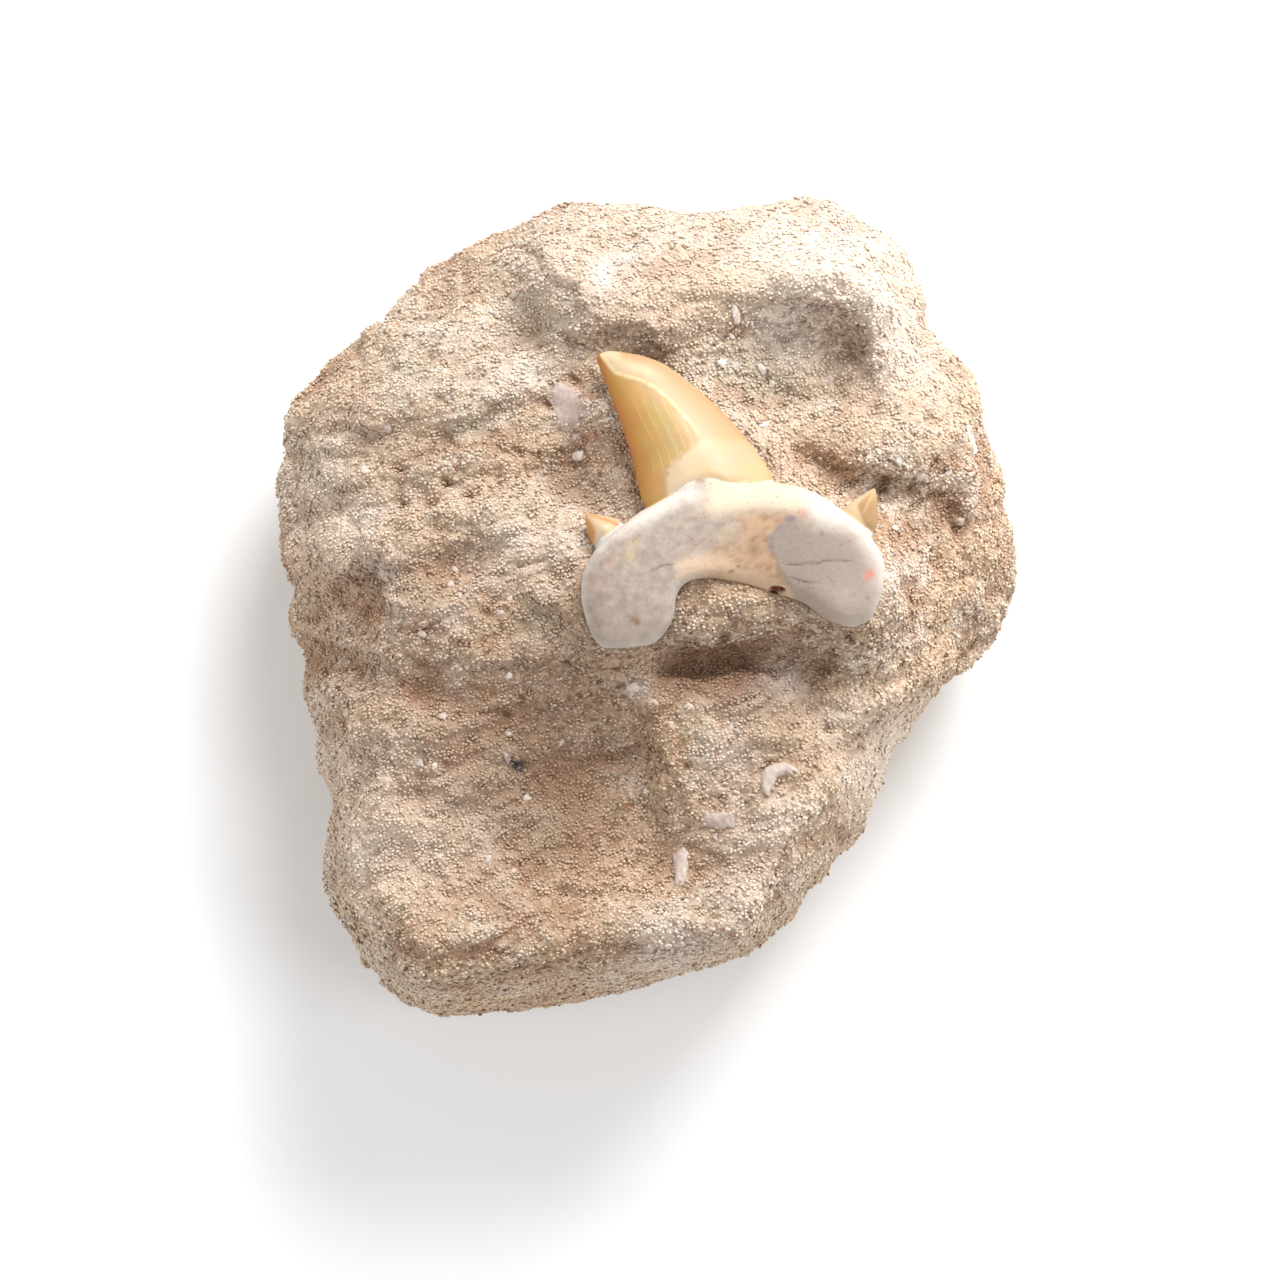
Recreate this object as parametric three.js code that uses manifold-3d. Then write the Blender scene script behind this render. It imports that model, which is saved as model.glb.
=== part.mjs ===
// Fossil shark tooth, prepared proud of a hand-sized lump of sandy matrix.
// Millimetres. The stone lies on its flat back: +Z is up through the tooth, +Y is the way the
// crown points, and the origin is the middle of the flat back.

import * as THREE from 'three';
import { mergeVertices } from 'three/addons/utils/BufferGeometryUtils.js';
import { ImprovedNoise } from 'three/addons/math/ImprovedNoise.js';
import Module from 'manifold-3d';

const wasm = await Module();
wasm.setup();

// Driving dimensions
const beddingGap = 0.3; // clearance between the tooth and the pocket in its matrix
const stoneDetail = 17; // how finely the stone's surface is divided
const frontShare = 0.56; // share of the stone's surface divisions that lie on its front
const flankShare = 0.3; // share that lies on its flanks; the rest is the flat back
const backInset = 0.84; // size of the flat back, as a share of the stone's widest outline
const flankBulge = 1.8; // above 1 the flank stays full before it turns in to the back
const creaseSoftness = 0.8; // radius of the rounding along crests and troughs
const lineSpacing = 2.2; // spacing of the points that hold the relief to its lines
const easing = 0.6; // how far the relief may ease off its lines where they crowd
const lumpSize = 7; // width of the broad lumps on the broken faces
const lumpHeight = 0.55;
const chipSize = 3.2; // width of the smaller chips on them
const chipHeight = 0.32;
const flankRoughness = 1.7; // how much rougher the broken flanks are than the front
const outlineSteps = 720; // how finely the outline is read
const padSquareness = 0.55; // below 1 the root's section is a rounded square
const weldTolerance = 1e-4;

// The stone's widest outline, clockwise from the top left: x, y and the height it lies at
const stoneOutline = [
  [-9.4, 38.2, 17], [-6.8, 38.7, 17], [-2.8, 38.2, 17], [2.2, 37.3, 18], [5.5, 37.2, 18],
  [9.6, 38, 17], [15.8, 38.6, 17], [18.9, 37.9, 17], [22.6, 35, 17], [24.4, 33.2, 17],
  [25.9, 28.4, 17], [27.2, 25.8, 17], [29.8, 23.1, 17], [31.4, 20.6, 17], [33, 14, 17],
  [34.8, 7.4, 15], [35.25, 4.6, 14], [34.8, 0, 13], [33.9, -2.5, 13], [31, -5.2, 13],
  [27.4, -8.1, 13], [24.4, -11.8, 13], [23.2, -15, 13], [21.3, -19.3, 13], [20.3, -22, 13],
  [17.8, -24, 13], [15.8, -26.4, 12], [14.6, -28.4, 12], [12.4, -29.9, 11], [10.4, -32.5, 10],
  [5.6, -34.6, 9], [0.4, -36.1, 8], [-10.2, -38.3, 6], [-20.3, -39.15, 6], [-23.5, -37.2, 9],
  [-26, -34.2, 12], [-28.6, -30.4, 14], [-30.1, -26.6, 15], [-30, -22.5, 16], [-29.8, -18.5, 15],
  [-31.8, -10.5, 14], [-33.3, 0, 14], [-34.75, 6, 14], [-34.2, 14, 14], [-34, 18.9, 14],
  [-30.8, 23.2, 13], [-25.7, 27.2, 13], [-22, 31, 13.5], [-18.4, 33.1, 14], [-13.6, 35.5, 15],
];

// Crests, troughs and spots of the front, as lines of x, y and height
const reliefLines = {
  topBevel: [[-8, 34.5, 21], [5, 33.5, 23], [19, 34, 22.5]],
  topCrest: [
    [-4.2, 26.1, 27.3], [-0.5, 28.8, 27], [4.9, 29.2, 27.2], [10.4, 29, 27.6], [12, 29, 27.8],
  ],
  knobCrest: [
    [14.2, 28.5, 30.6], [16.3, 28.7, 31.3], [18.8, 28.3, 31.8], [19.7, 26, 30.6], [20.6, 23.4, 27.5],
  ],
  knobFoot: [
    [12.4, 27.7, 27.3], [14.2, 25.9, 26.3], [16.2, 24.1, 25.8], [18.4, 22.3, 25.6], [20.2, 21.2, 25.7],
  ],
  knobRight: [[21.8, 28, 26], [23.5, 24, 24.5]],
  underCrest: [[-0.5, 21.6, 25], [5, 21, 25.2], [10.5, 20.4, 25.2], [17.8, 19, 25.5]],
  leftRidge: [[-9.5, 34, 23], [-8.3, 31, 25.6], [-4.5, 26, 28], [0.5, 25, 27.4]],
  scarpAboveTip: [[-8, 23.5, 24.5], [-4.5, 24, 24.5], [-0.5, 23.8, 25]],
  leftValley: [[-15.5, 33, 18.3], [-13.5, 28.5, 20.2], [-11, 24.3, 22.5]],
  leftSlope: [[-23, 26, 18], [-28, 20.5, 19]],
  upperRipple: [[-27.5, 17, 22], [-20.5, 18.8, 24.6], [-14, 20, 25.4]],
  upperTrough: [[-26.5, 14.6, 21.2], [-20, 16.2, 23.5], [-13.5, 18, 24.2]],
  lowerRipple: [[-30, 11.4, 20], [-22.5, 12.6, 25], [-16, 14.4, 26], [-11, 14.6, 25.6]],
  lowerTrough: [
    [-31, 8.4, 18.6], [-23.5, 9.6, 23.2], [-19, 10.8, 23.8], [-13.5, 11.6, 24.2], [-9, 11.6, 24.6],
  ],
  shelfEdge: [
    [-27.5, 5, 23], [-24.5, 4.5, 26.5], [-21.5, 6.5, 27], [-18, 8, 28], [-13, 9, 28], [-8, 9, 27.5],
  ],
  sideHollow: [[-30.5, 2, 17.5], [-27.5, 1.5, 20.5], [-24, 1.5, 22.5], [-26, -2, 21.5]],
  hollowRim: [[-22, 2, 27], [-23, -1, 26.5], [-22, -4, 26], [-19.5, -7.5, 25.5]],
  shelfDip: [[-18.4, 4.9, 26.4], [-16.4, 4.7, 26.5]],
  shelfTop: [[-19.6, 1.6, 27.4], [-15, 1.4, 27.8], [-11, 1, 28.2], [-8, -3, 28.6], [-15, -3, 27.8]],
  shelfRim: [[-9, -4.2, 29.2], [-5, -4.7, 30.8], [-1.5, -4.9, 31], [0, -5.6, 29.5]],
  basin: [[-19, -11.5, 25.8], [-11, -11, 25.8], [-4.5, -11, 25.8]],
  basinFloor: [[-18, -17.5, 24.6], [-9, -17, 24.5], [-2.5, -18, 24.6]],
  basinRidge: [[-1.2, -6.6, 28.4], [0.6, -11, 28.1], [2.8, -15, 27.9], [3.9, -18.2, 27.5]],
  basinRidgeFoot: [[-2.9, -8, 26.7], [-1.2, -13, 25.6], [1, -17.5, 25.1], [1.8, -20.4, 25.7]],
  lowerTop: [[6.5, -8.5, 29], [14, -9.5, 28.5]],
  lowerSwell: [[9, -15, 28.8], [7, -22, 27.7], [5, -27, 27.2]],
  lowerRightRim: [
    [26.6, -5.8, 22], [21.8, -9.9, 24.5], [18.1, -13, 26], [17.1, -16.5, 26.6], [15.2, -20.9, 26.8],
    [12.6, -25.2, 26.8], [10.2, -29.4, 26.2],
  ],
  lowerRightFlank: [
    [28.8, -5.5, 18.5], [24.4, -9.9, 19.5], [21.2, -14.9, 19.5], [19.2, -19.7, 19.5],
    [16, -24.2, 19.5], [12.8, -28.4, 18.5],
  ],
  bottomCrest: [
    [-24, -32.8, 24], [-19.8, -33.6, 25.8], [-14.8, -32.7, 26.4], [-9.8, -32, 26.8],
    [-4.8, -31.9, 27], [0.3, -31.7, 27.2], [5.3, -31, 27.3], [8.6, -30.6, 26.4],
  ],
  bottomSwell: [[-24, -24, 24.6], [-15.1, -24.4, 24.8], [-7.8, -24.8, 25], [-0.5, -25.6, 25.8]],
  bottomLip: [
    [-23.6, -35.6, 16], [-19.4, -37.2, 17], [-10, -35.6, 18], [-2, -34.3, 19], [4.5, -33, 19],
  ],
  backLedge: [[-20, -38.5, 8.5], [-11, -37.3, 9], [-3, -35.8, 10.5], [4, -34.2, 12]],
  lowerLeft: [[-29, -9, 20], [-28, -16, 21], [-27.5, -23, 21.5], [-27.3, -27.5, 21]],
  lowerLeftShoulder: [[-24.5, -9, 24.5], [-23.5, -16, 25]],
  trench: [[1.2, -5.4, 27.2], [5, -5.7, 26.7], [10.5, -5.3, 26.7], [16, -5, 26.6]],
  trenchRim: [[1, -7.2, 28.4], [6.5, -7.4, 28.9], [13, -6.8, 28.7], [19.5, -6.6, 26.8]],
  rightScarp: [
    [11, 16.6, 27.5], [14.5, 15.2, 27.7], [19, 13.8, 27.5], [26, 12.3, 25.8], [31, 11, 22.8],
  ],
  rightScarpFoot: [[16, 12.6, 25.3], [22.5, 10.8, 24.3], [28.5, 8.8, 22.5]],
  rightDip: [[25, 7, 24.6], [26.5, 1.5, 22.8], [29.5, 4.5, 21.8], [32.5, 1, 17]],
  rightShoulder: [[28, 19, 23.5], [29.5, 14.5, 23]],
  rightLow: [[23.5, -4.5, 25], [28, -4, 20.5]],
  upperRight: [[23.5, 21, 25], [18.5, 16.5, 27], [12.5, 18, 26]],
  crownBed: [[5, 10, 28.8], [1.5, 15.5, 28.6], [-2.2, 20.8, 28.2]],
  crownLeft: [[-8.4, 19, 24.6], [-7.4, 15, 24.8], [-6, 11, 25.6]],
  crownLeftEdge: [[-4.4, 19, 27.4], [-3.1, 15, 27.9], [-1.9, 11, 28.4]],
  crownRightEdge: [[1.8, 22.8, 26.4], [6.2, 19.2, 27.4], [9.9, 15.8, 28]],
  rootBed: [[-2, -1, 31], [-1, 4, 30.5], [5, 7, 30.5], [11, 6.5, 30.5], [17, 4, 30.8]],
  rootRight: [[22.3, 6, 30], [22.6, 1.5, 30.6], [21.2, -2.2, 30.6], [18, -3, 30.4]],
  rootSide: [[-6.8, 4.5, 30.4], [-7, 0.5, 31.2], [-6.4, -3.2, 31.2]],
  rootNotch: [[4.4, 1.2, 32.6], [8.1, 0.8, 32.9], [12.1, -0.6, 32.5]],
  rootNotchFoot: [[3.6, -2.2, 31.4], [8.5, -2.1, 31.4], [14, -2.7, 30.6]],
};

// The tooth's parts, as stations from one end to the other: the two edges (x, y), the height of
// the middle, and how far the face stands in front of it and behind it
const crownStations = [
  { left: [0.5, 7], right: [12, 9], height: 30.8, front: 3.2, behind: 2.9 },
  { left: [-0.5, 9.6], right: [11.7, 11.7], height: 30.6, front: 3.2, behind: 2.8 },
  { left: [-1.1, 12.6], right: [9.9, 14.4], height: 30.3, front: 2.9, behind: 2.5 },
  { left: [-1.9, 15.4], right: [7.5, 17.3], height: 29.9, front: 2.5, behind: 2.2 },
  { left: [-2.9, 18.2], right: [4.6, 20], height: 29.4, front: 1.9, behind: 1.7 },
  { left: [-4, 20.9], right: [1, 22.6], height: 28.8, front: 1.3, behind: 1.2 },
  { left: [-4.8, 22.8], right: [-3.3, 23.5], height: 28.3, front: 0.7, behind: 0.7 },
];
const rootStations = [
  { left: [-4.9, -3.9], right: [1.6, -3.3], height: 31.8, front: 2.8, behind: 3 },
  { left: [-5.8, -0.5], right: [2.7, -1.2], height: 31.8, front: 3.4, behind: 3.8 },
  { left: [-5.7, 3.6], right: [2.8, 1], height: 31.8, front: 3.5, behind: 3.9 },
  { left: [-2.6, 7.1], right: [3.7, 2.3], height: 31.6, front: 3.4, behind: 3.8 },
  { left: [1.2, 9.6], right: [5.4, 2.6], height: 31.4, front: 3.2, behind: 3.6 },
  { left: [5, 11.2], right: [7.2, 2.4], height: 31.2, front: 3, behind: 3.4 },
  { left: [10, 11.4], right: [9.8, 1.7], height: 31.2, front: 2.9, behind: 3.4 },
  { left: [14.6, 10.8], right: [12.2, 1], height: 31.4, front: 3.4, behind: 3.6 },
  { left: [18.6, 8], right: [14.2, 0.4], height: 31.7, front: 3.9, behind: 3.8 },
  { left: [21.2, 5], right: [15.6, -0.7], height: 31.8, front: 4, behind: 3.9 },
  { left: [21.5, 2], right: [16.6, -1.4], height: 31.8, front: 3.8, behind: 3.8 },
  { left: [20.6, -1], right: [18, -2], height: 31.8, front: 3, behind: 3 },
];
const leftCuspletStations = [
  { left: [-4.6, 4.6], right: [-0.8, 6.6], height: 30.6, front: 1.6, behind: 1.4 },
  { left: [-5.1, 6], right: [-2.2, 7.9], height: 30.5, front: 1.3, behind: 1.2 },
  { left: [-5.4, 7.2], right: [-3.7, 8.4], height: 30.3, front: 0.9, behind: 0.8 },
  { left: [-5.7, 8.4], right: [-5.2, 8.7], height: 30.1, front: 0.3, behind: 0.3 },
];
const rightCuspletStations = [
  { left: [16.6, 8.2], right: [20.6, 5.4], height: 31.2, front: 1.9, behind: 1.6 },
  { left: [18, 9.3], right: [21, 7.4], height: 31, front: 1.6, behind: 1.3 },
  { left: [19.3, 10.1], right: [21, 9], height: 30.8, front: 1, behind: 0.8 },
  { left: [20.5, 11], right: [20.9, 10.8], height: 30.6, front: 0.3, behind: 0.3 },
];

// Cross-sections, as [across, up] for an angle round the section
const lensSection = (angle) => [Math.cos(angle), Math.sin(angle) * Math.abs(Math.sin(angle))];
const padSection = (angle) => {
  const round = (value) => Math.sign(value) * Math.abs(value) ** padSquareness;
  return [round(Math.cos(angle)), round(Math.sin(angle))];
};

const noise = new ImprovedNoise();

function roughness({ x, y, z }) {
  const lumps = noise.noise(x / lumpSize, y / lumpSize, z / lumpSize) * lumpHeight;
  const chips = noise.noise(x / chipSize, y / chipSize, z / chipSize) * chipHeight;
  return lumps + chips;
}

// Points spread evenly along a line of corners
function spreadPoints(line, spacing) {
  const points = [];
  for (let i = 0; i + 1 < line.length; i += 1) {
    const start = new THREE.Vector3(...line[i]);
    const end = new THREE.Vector3(...line[i + 1]);
    const steps = Math.max(1, Math.round(start.distanceTo(end) / spacing));
    for (let step = 0; step < steps; step += 1) {
      points.push(start.clone().lerp(end, step / steps));
    }
  }
  points.push(new THREE.Vector3(...line.at(-1)));
  return points;
}

// Gaussian elimination with row swaps, for a small full set of equations
function solveEquations(rows) {
  const count = rows.length;
  for (let i = 0; i < count; i += 1) {
    let pivot = i;
    for (let j = i + 1; j < count; j += 1) {
      if (Math.abs(rows[j][i]) > Math.abs(rows[pivot][i])) pivot = j;
    }
    [rows[i], rows[pivot]] = [rows[pivot], rows[i]];
    for (let j = i + 1; j < count; j += 1) {
      const share = rows[j][i] / rows[i][i];
      for (let k = i; k <= count; k += 1) {
        rows[j][k] -= share * rows[i][k];
      }
    }
  }
  const answer = new Array(count).fill(0);
  for (let i = count - 1; i >= 0; i -= 1) {
    let rest = rows[i][count];
    for (let k = i + 1; k < count; k += 1) {
      rest -= rows[i][k] * answer[k];
    }
    answer[i] = rest / rows[i][i];
  }
  return answer;
}

// Terrain through the relief lines by Hardy's method: a blunt cone on every point, whose
// slopes add up to straight faces between one line and the next
function makeTerrain() {
  const lines = [...Object.values(reliefLines), [...stoneOutline, stoneOutline[0]]];
  const points = lines.flatMap((line) => spreadPoints(line, lineSpacing));
  const cone = (x, y, point) => Math.hypot(x - point.x, y - point.y, creaseSoftness);
  const rows = points.map((point, i) => [
    ...points.map((other, j) => cone(point.x, point.y, other) - (i === j ? easing : 0)),
    point.z,
  ]);
  const slopes = solveEquations(rows);
  return (x, y) => points.reduce((height, point, i) => height + slopes[i] * cone(x, y, point), 0);
}

// The outline as a smooth closed curve, read by direction from the middle
function makeOutlineReader(points) {
  const corners = points.map(([x, y, z]) => new THREE.Vector3(x, y, z));
  const curve = new THREE.CatmullRomCurve3(corners, true, 'centripetal');
  const readings = curve.getPoints(outlineSteps).map((p) => ({
    angle: Math.atan2(p.y, p.x),
    radius: Math.hypot(p.x, p.y),
    height: p.z,
  }));
  readings.sort((a, b) => a.angle - b.angle);
  return (angle) => {
    let after = readings.findIndex((reading) => reading.angle >= angle);
    if (after < 1) after = 1;
    const a = readings[after - 1];
    const b = readings[after];
    const t = THREE.MathUtils.clamp((angle - a.angle) / Math.max(b.angle - a.angle, 1e-9), 0, 1);
    return {
      radius: THREE.MathUtils.lerp(a.radius, b.radius, t),
      height: THREE.MathUtils.lerp(a.height, b.height, t),
    };
  };
}

// Where a direction on the unit sphere lies on the stone: front, flank or flat back.
// Equal areas of the sphere go to equal areas of the front, so its triangles are even.
function placeOnStone(direction, readOutline, terrainHeight) {
  const angle = Math.atan2(direction.y, direction.x);
  const outline = readOutline(angle);
  const atRadius = (radius, height) => (
    new THREE.Vector3(radius * Math.cos(angle), radius * Math.sin(angle), height)
  );
  const fromTop = (1 - direction.z) / 2; // share of the sphere's surface above this point
  if (fromTop < frontShare) {
    const point = atRadius(outline.radius * Math.sqrt(fromTop / frontShare), 0);
    return point.setZ(terrainHeight(point.x, point.y) + roughness(point));
  }
  if (fromTop < frontShare + flankShare) {
    const down = (fromTop - frontShare) / flankShare;
    const inset = THREE.MathUtils.lerp(1, backInset, down ** flankBulge);
    const point = atRadius(outline.radius * inset, outline.height * (1 - down));
    return point.add(atRadius(roughness(point) * flankRoughness, 0));
  }
  const inward = (1 - fromTop) / (1 - frontShare - flankShare);
  return atRadius(outline.radius * backInset * Math.sqrt(inward), 0);
}

function makeStoneGeometry() {
  const geometry = new THREE.IcosahedronGeometry(1, stoneDetail);
  const readOutline = makeOutlineReader(stoneOutline);
  const terrainHeight = makeTerrain();
  const position = geometry.getAttribute('position');
  const direction = new THREE.Vector3();
  for (let i = 0; i < position.count; i += 1) {
    direction.fromBufferAttribute(position, i).normalize();
    position.setXYZ(i, ...placeOnStone(direction, readOutline, terrainHeight));
  }
  return geometry;
}

// A body that runs through its stations from end to end, rounded off at both ends
function makeStationBody({ stations, section, around, along, endSquareness }) {
  const geometry = new THREE.SphereGeometry(1, around, along);
  const leftEdge = new THREE.SplineCurve(stations.map(({ left }) => new THREE.Vector2(...left)));
  const rightEdge = new THREE.SplineCurve(stations.map(({ right }) => new THREE.Vector2(...right)));
  const depths = new THREE.CatmullRomCurve3(
    stations.map(({ height, front, behind }) => new THREE.Vector3(height, front, behind)),
  );
  const position = geometry.getAttribute('position');
  const unit = new THREE.Vector3();
  for (let i = 0; i < position.count; i += 1) {
    unit.fromBufferAttribute(position, i).clampScalar(-1, 1);
    const t = (1 - unit.y) / 2;
    const girth = Math.max(0, 1 - Math.abs(unit.y) ** endSquareness) ** (1 / endSquareness);
    const [across, up] = section(Math.atan2(unit.z, -unit.x));
    const left = leftEdge.getPoint(t);
    const right = rightEdge.getPoint(t);
    const [height, front, behind] = depths.getPoint(t).toArray();
    const share = 0.5 + 0.5 * across * girth;
    const z = height + (up > 0 ? front : behind) * up * girth;
    position.setXYZ(i, left.x + (right.x - left.x) * share, left.y + (right.y - left.y) * share, z);
  }
  return geometry;
}

function weld(geometry) {
  const bare = geometry.clone();
  bare.deleteAttribute('normal');
  bare.deleteAttribute('uv');
  return mergeVertices(bare, weldTolerance);
}

function toSolid(geometry) {
  const welded = weld(geometry);
  return new wasm.Manifold(new wasm.Mesh({
    numProp: 3,
    vertProperties: new Float32Array(welded.getAttribute('position').array),
    triVerts: new Uint32Array(welded.getIndex().array),
  }));
}

function toGeometry(solid) {
  const { vertProperties, triVerts } = solid.getMesh();
  const geometry = new THREE.BufferGeometry();
  geometry.setAttribute('position', new THREE.BufferAttribute(vertProperties, 3));
  geometry.setIndex(new THREE.BufferAttribute(triVerts, 1));
  geometry.computeVertexNormals();
  return geometry;
}

function grow(geometry, distance) {
  const grown = weld(geometry);
  grown.computeVertexNormals();
  const position = grown.getAttribute('position');
  const normal = grown.getAttribute('normal');
  const point = new THREE.Vector3();
  const outward = new THREE.Vector3();
  for (let i = 0; i < position.count; i += 1) {
    outward.fromBufferAttribute(normal, i);
    point.fromBufferAttribute(position, i).addScaledVector(outward, distance);
    position.setXYZ(i, point.x, point.y, point.z);
  }
  return grown;
}

function makeToothBodies() {
  const cusplet = { section: lensSection, around: 12, along: 8, endSquareness: 2.5 };
  return [
    makeStationBody({
      stations: rootStations, section: padSection, around: 24, along: 26, endSquareness: 6,
    }),
    makeStationBody({
      stations: crownStations, section: lensSection, around: 20, along: 18, endSquareness: 6,
    }),
    makeStationBody({ stations: leftCuspletStations, ...cusplet }),
    makeStationBody({ stations: rightCuspletStations, ...cusplet }),
  ];
}

const join = (solids) => solids.reduce((joined, solid) => joined.add(solid));

const toothBodies = makeToothBodies();
const toothSolid = join(toothBodies.map(toSolid));
const pocketSolid = join(toothBodies.map((body) => toSolid(grow(body, beddingGap))));
const stoneSolid = toSolid(makeStoneGeometry()).subtract(pocketSolid);

const enamelAndRoot = new THREE.MeshStandardMaterial({ color: 0xd9c08a, roughness: 0.4, metalness: 0 });
const sandyMatrix = new THREE.MeshStandardMaterial({ color: 0xd8c5ab, roughness: 0.95, metalness: 0 });

const tooth = new THREE.Mesh(toGeometry(toothSolid), enamelAndRoot);
tooth.name = 'shark_tooth';
const stone = new THREE.Mesh(toGeometry(stoneSolid), sandyMatrix);
stone.name = 'matrix_stone';

const specimen = new THREE.Group();
specimen.add(stone, tooth);
const middle = new THREE.Box3().setFromObject(specimen).getCenter(new THREE.Vector3());
specimen.position.set(-middle.x, -middle.y, 0);

export default specimen;
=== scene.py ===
# A fossil shark tooth standing proud of its hand-sized lump of sandy matrix.
# Lengths in the dictionaries are millimetres, in the frame's own place.

import math
import random

import bmesh
import bpy
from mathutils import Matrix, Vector, noise
from mathutils.bvhtree import BVHTree


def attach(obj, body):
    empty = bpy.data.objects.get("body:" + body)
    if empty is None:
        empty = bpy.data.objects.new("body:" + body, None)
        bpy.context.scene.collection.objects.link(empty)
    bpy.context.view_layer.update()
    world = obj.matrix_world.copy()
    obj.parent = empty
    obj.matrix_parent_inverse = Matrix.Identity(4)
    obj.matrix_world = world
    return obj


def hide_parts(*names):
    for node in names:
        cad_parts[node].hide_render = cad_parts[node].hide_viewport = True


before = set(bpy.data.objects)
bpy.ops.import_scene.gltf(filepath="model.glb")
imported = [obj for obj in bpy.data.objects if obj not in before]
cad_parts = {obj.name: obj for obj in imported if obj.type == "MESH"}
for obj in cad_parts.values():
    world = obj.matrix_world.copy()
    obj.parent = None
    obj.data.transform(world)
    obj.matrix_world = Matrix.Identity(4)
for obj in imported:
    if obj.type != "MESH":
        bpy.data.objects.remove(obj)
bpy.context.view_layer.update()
print("frame loaded")

mm = 0.001
above = 60  # a height over the whole stone, to look down from
down = Vector((0, 0, -1))
scene = bpy.context.scene
noise.seed_set(7)  # noise_vector takes its offsets from this


def smoothStep(start, end, value):
    share = min(1.0, max(0.0, (value - start) / (end - start)))
    return share * share * (3 - 2 * share)


def alongLine(line, across):  # reads a line of (across, along) points
    for (startAcross, startAlong), (endAcross, endAlong) in zip(line, line[1:]):
        if across <= endAcross:
            share = max(0.0, (across - startAcross) / (endAcross - startAcross))
            return startAlong + (endAlong - startAlong) * share
    return line[-1][1]


def besideLine(line, x, y):  # how far off a line, on which side, and how far from its ends
    nearest, travelled = (1e9, 1, 0.0), 0.0
    for (ax, ay), (bx, by) in zip(line, line[1:]):
        runX, runY = bx - ax, by - ay
        length = math.hypot(runX, runY)
        share = min(1.0, max(0.0, ((x - ax) * runX + (y - ay) * runY) / length**2))
        away = math.hypot(x - ax - share * runX, y - ay - share * runY)
        if away < nearest[0]:
            side = 1 if runX * (y - ay) > runY * (x - ax) else -1
            nearest = (away, side, travelled + share * length)
        travelled += length
    away, side, along = nearest
    return away, side, min(along, travelled - along)


def distanceToLine(line, x, y):
    return besideLine(line, x, y)[0]


def markSum(marks, x, y):  # adds up round marks of x, y, radius and strength
    total = 0.0
    for markX, markY, radius, strength in marks:
        reach = ((x - markX) ** 2 + (y - markY) ** 2) / radius**2
        if reach < 6:
            total += strength * math.exp(-reach)
    return total


def toLinear(hexColour):
    channels = [int(hexColour[i : i + 2], 16) / 255 for i in (1, 3, 5)]
    return [c / 12.92 if c <= 0.04045 else ((c + 0.055) / 1.055) ** 2.4 for c in channels] + [1.0]


def addNode(tree, kind, settings=None, links=None):
    node = tree.nodes.new(kind)
    for name, value in (settings or {}).items():
        if isinstance(name, str) and hasattr(node, name):
            setattr(node, name, value)
        else:
            node.inputs[name].default_value = value
    for socket, source in (links or {}).items():
        tree.links.new(source, node.inputs[socket])
    return node


def newMaterial(name):
    material = bpy.data.materials.new(name)
    material.use_nodes = True
    material.node_tree.nodes.clear()
    return material, material.node_tree


def setRamp(node, stops):
    ramp = node.color_ramp
    while len(ramp.elements) < len(stops):
        ramp.elements.new(0.5)
    for element, (position, colour) in zip(ramp.elements, stops):
        element.position = position
        element.color = toLinear(colour)
    return node.outputs["Color"]


def layerColours(tree, base, layers):  # lays each colour over the last, where its attribute is
    for attributeName, colour in layers.items():
        mask = addNode(tree, "ShaderNodeAttribute", {"attribute_name": attributeName})
        mix = addNode(
            tree, "ShaderNodeMix", {"data_type": "RGBA", 7: toLinear(colour)},
            {0: mask.outputs["Fac"], 6: base},
        )
        base = mix.outputs[2]
    return base


def newPiece(name, shape):
    mesh = bpy.data.meshes.new(name)
    shape.to_mesh(mesh)
    shape.free()
    piece = bpy.data.objects.new(name, mesh)
    scene.collection.objects.link(piece)
    return piece


def openShape(piece):
    shape = bmesh.new()
    shape.from_mesh(piece.data)
    return shape


def closeShape(piece, shape):
    shape.to_mesh(piece.data)
    shape.free()


def copyNode(nodeName, pieceName):
    shape = openShape(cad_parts[nodeName])
    bmesh.ops.remove_doubles(shape, verts=shape.verts, dist=1e-6)
    return newPiece(pieceName, shape)


def addModifier(piece, kind, **settings):
    modifier = piece.modifiers.new(kind, kind)
    for name, value in settings.items():
        setattr(modifier, name, value)


def applyModifiers(piece):
    bpy.context.view_layer.update()
    shaped = piece.evaluated_get(bpy.context.evaluated_depsgraph_get())
    finished = bpy.data.meshes.new_from_object(shaped)
    plain = piece.data
    piece.modifiers.clear()
    piece.data = finished
    bpy.data.meshes.remove(plain)


def relax(shape, times):
    for _ in range(times):
        bmesh.ops.smooth_vert(
            shape, verts=shape.verts, factor=0.5, use_axis_x=True, use_axis_y=True, use_axis_z=True
        )
    shape.normal_update()


def storeFields(piece, fields):
    for name, values in fields.items():
        piece.data.attributes.new(name, "FLOAT", "POINT").data.foreach_set("value", values)


def shadeSmooth(piece):
    piece.data.polygons.foreach_set("use_smooth", [True] * len(piece.data.polygons))


stageLook = {
    "cameraPlace": (-0.745, -2.455, 384),
    "lens": 110.25,
    "worldLight": 0.49,
    "keyPlace": (130, 300, 250),
    "keySize": 210,
    "keyPower": 2.45,
    "sidePlace": (620, -160, 300),
    "sideSize": 420,
    "sidePower": 2.2,
    "fillPlace": (-400, -170, 235),
    "fillSize": 400,
    "fillPower": 0.95,
    "floorSize": 3000,
    "floorColour": "#F6F6F6",
}

cameraData = bpy.data.cameras.new("camera")
cameraData.lens = stageLook["lens"]
cameraData.clip_start = 0.01
camera = bpy.data.objects.new("camera", cameraData)
camera.location = Vector(stageLook["cameraPlace"]) * mm
scene.collection.objects.link(camera)
scene.camera = camera

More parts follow.
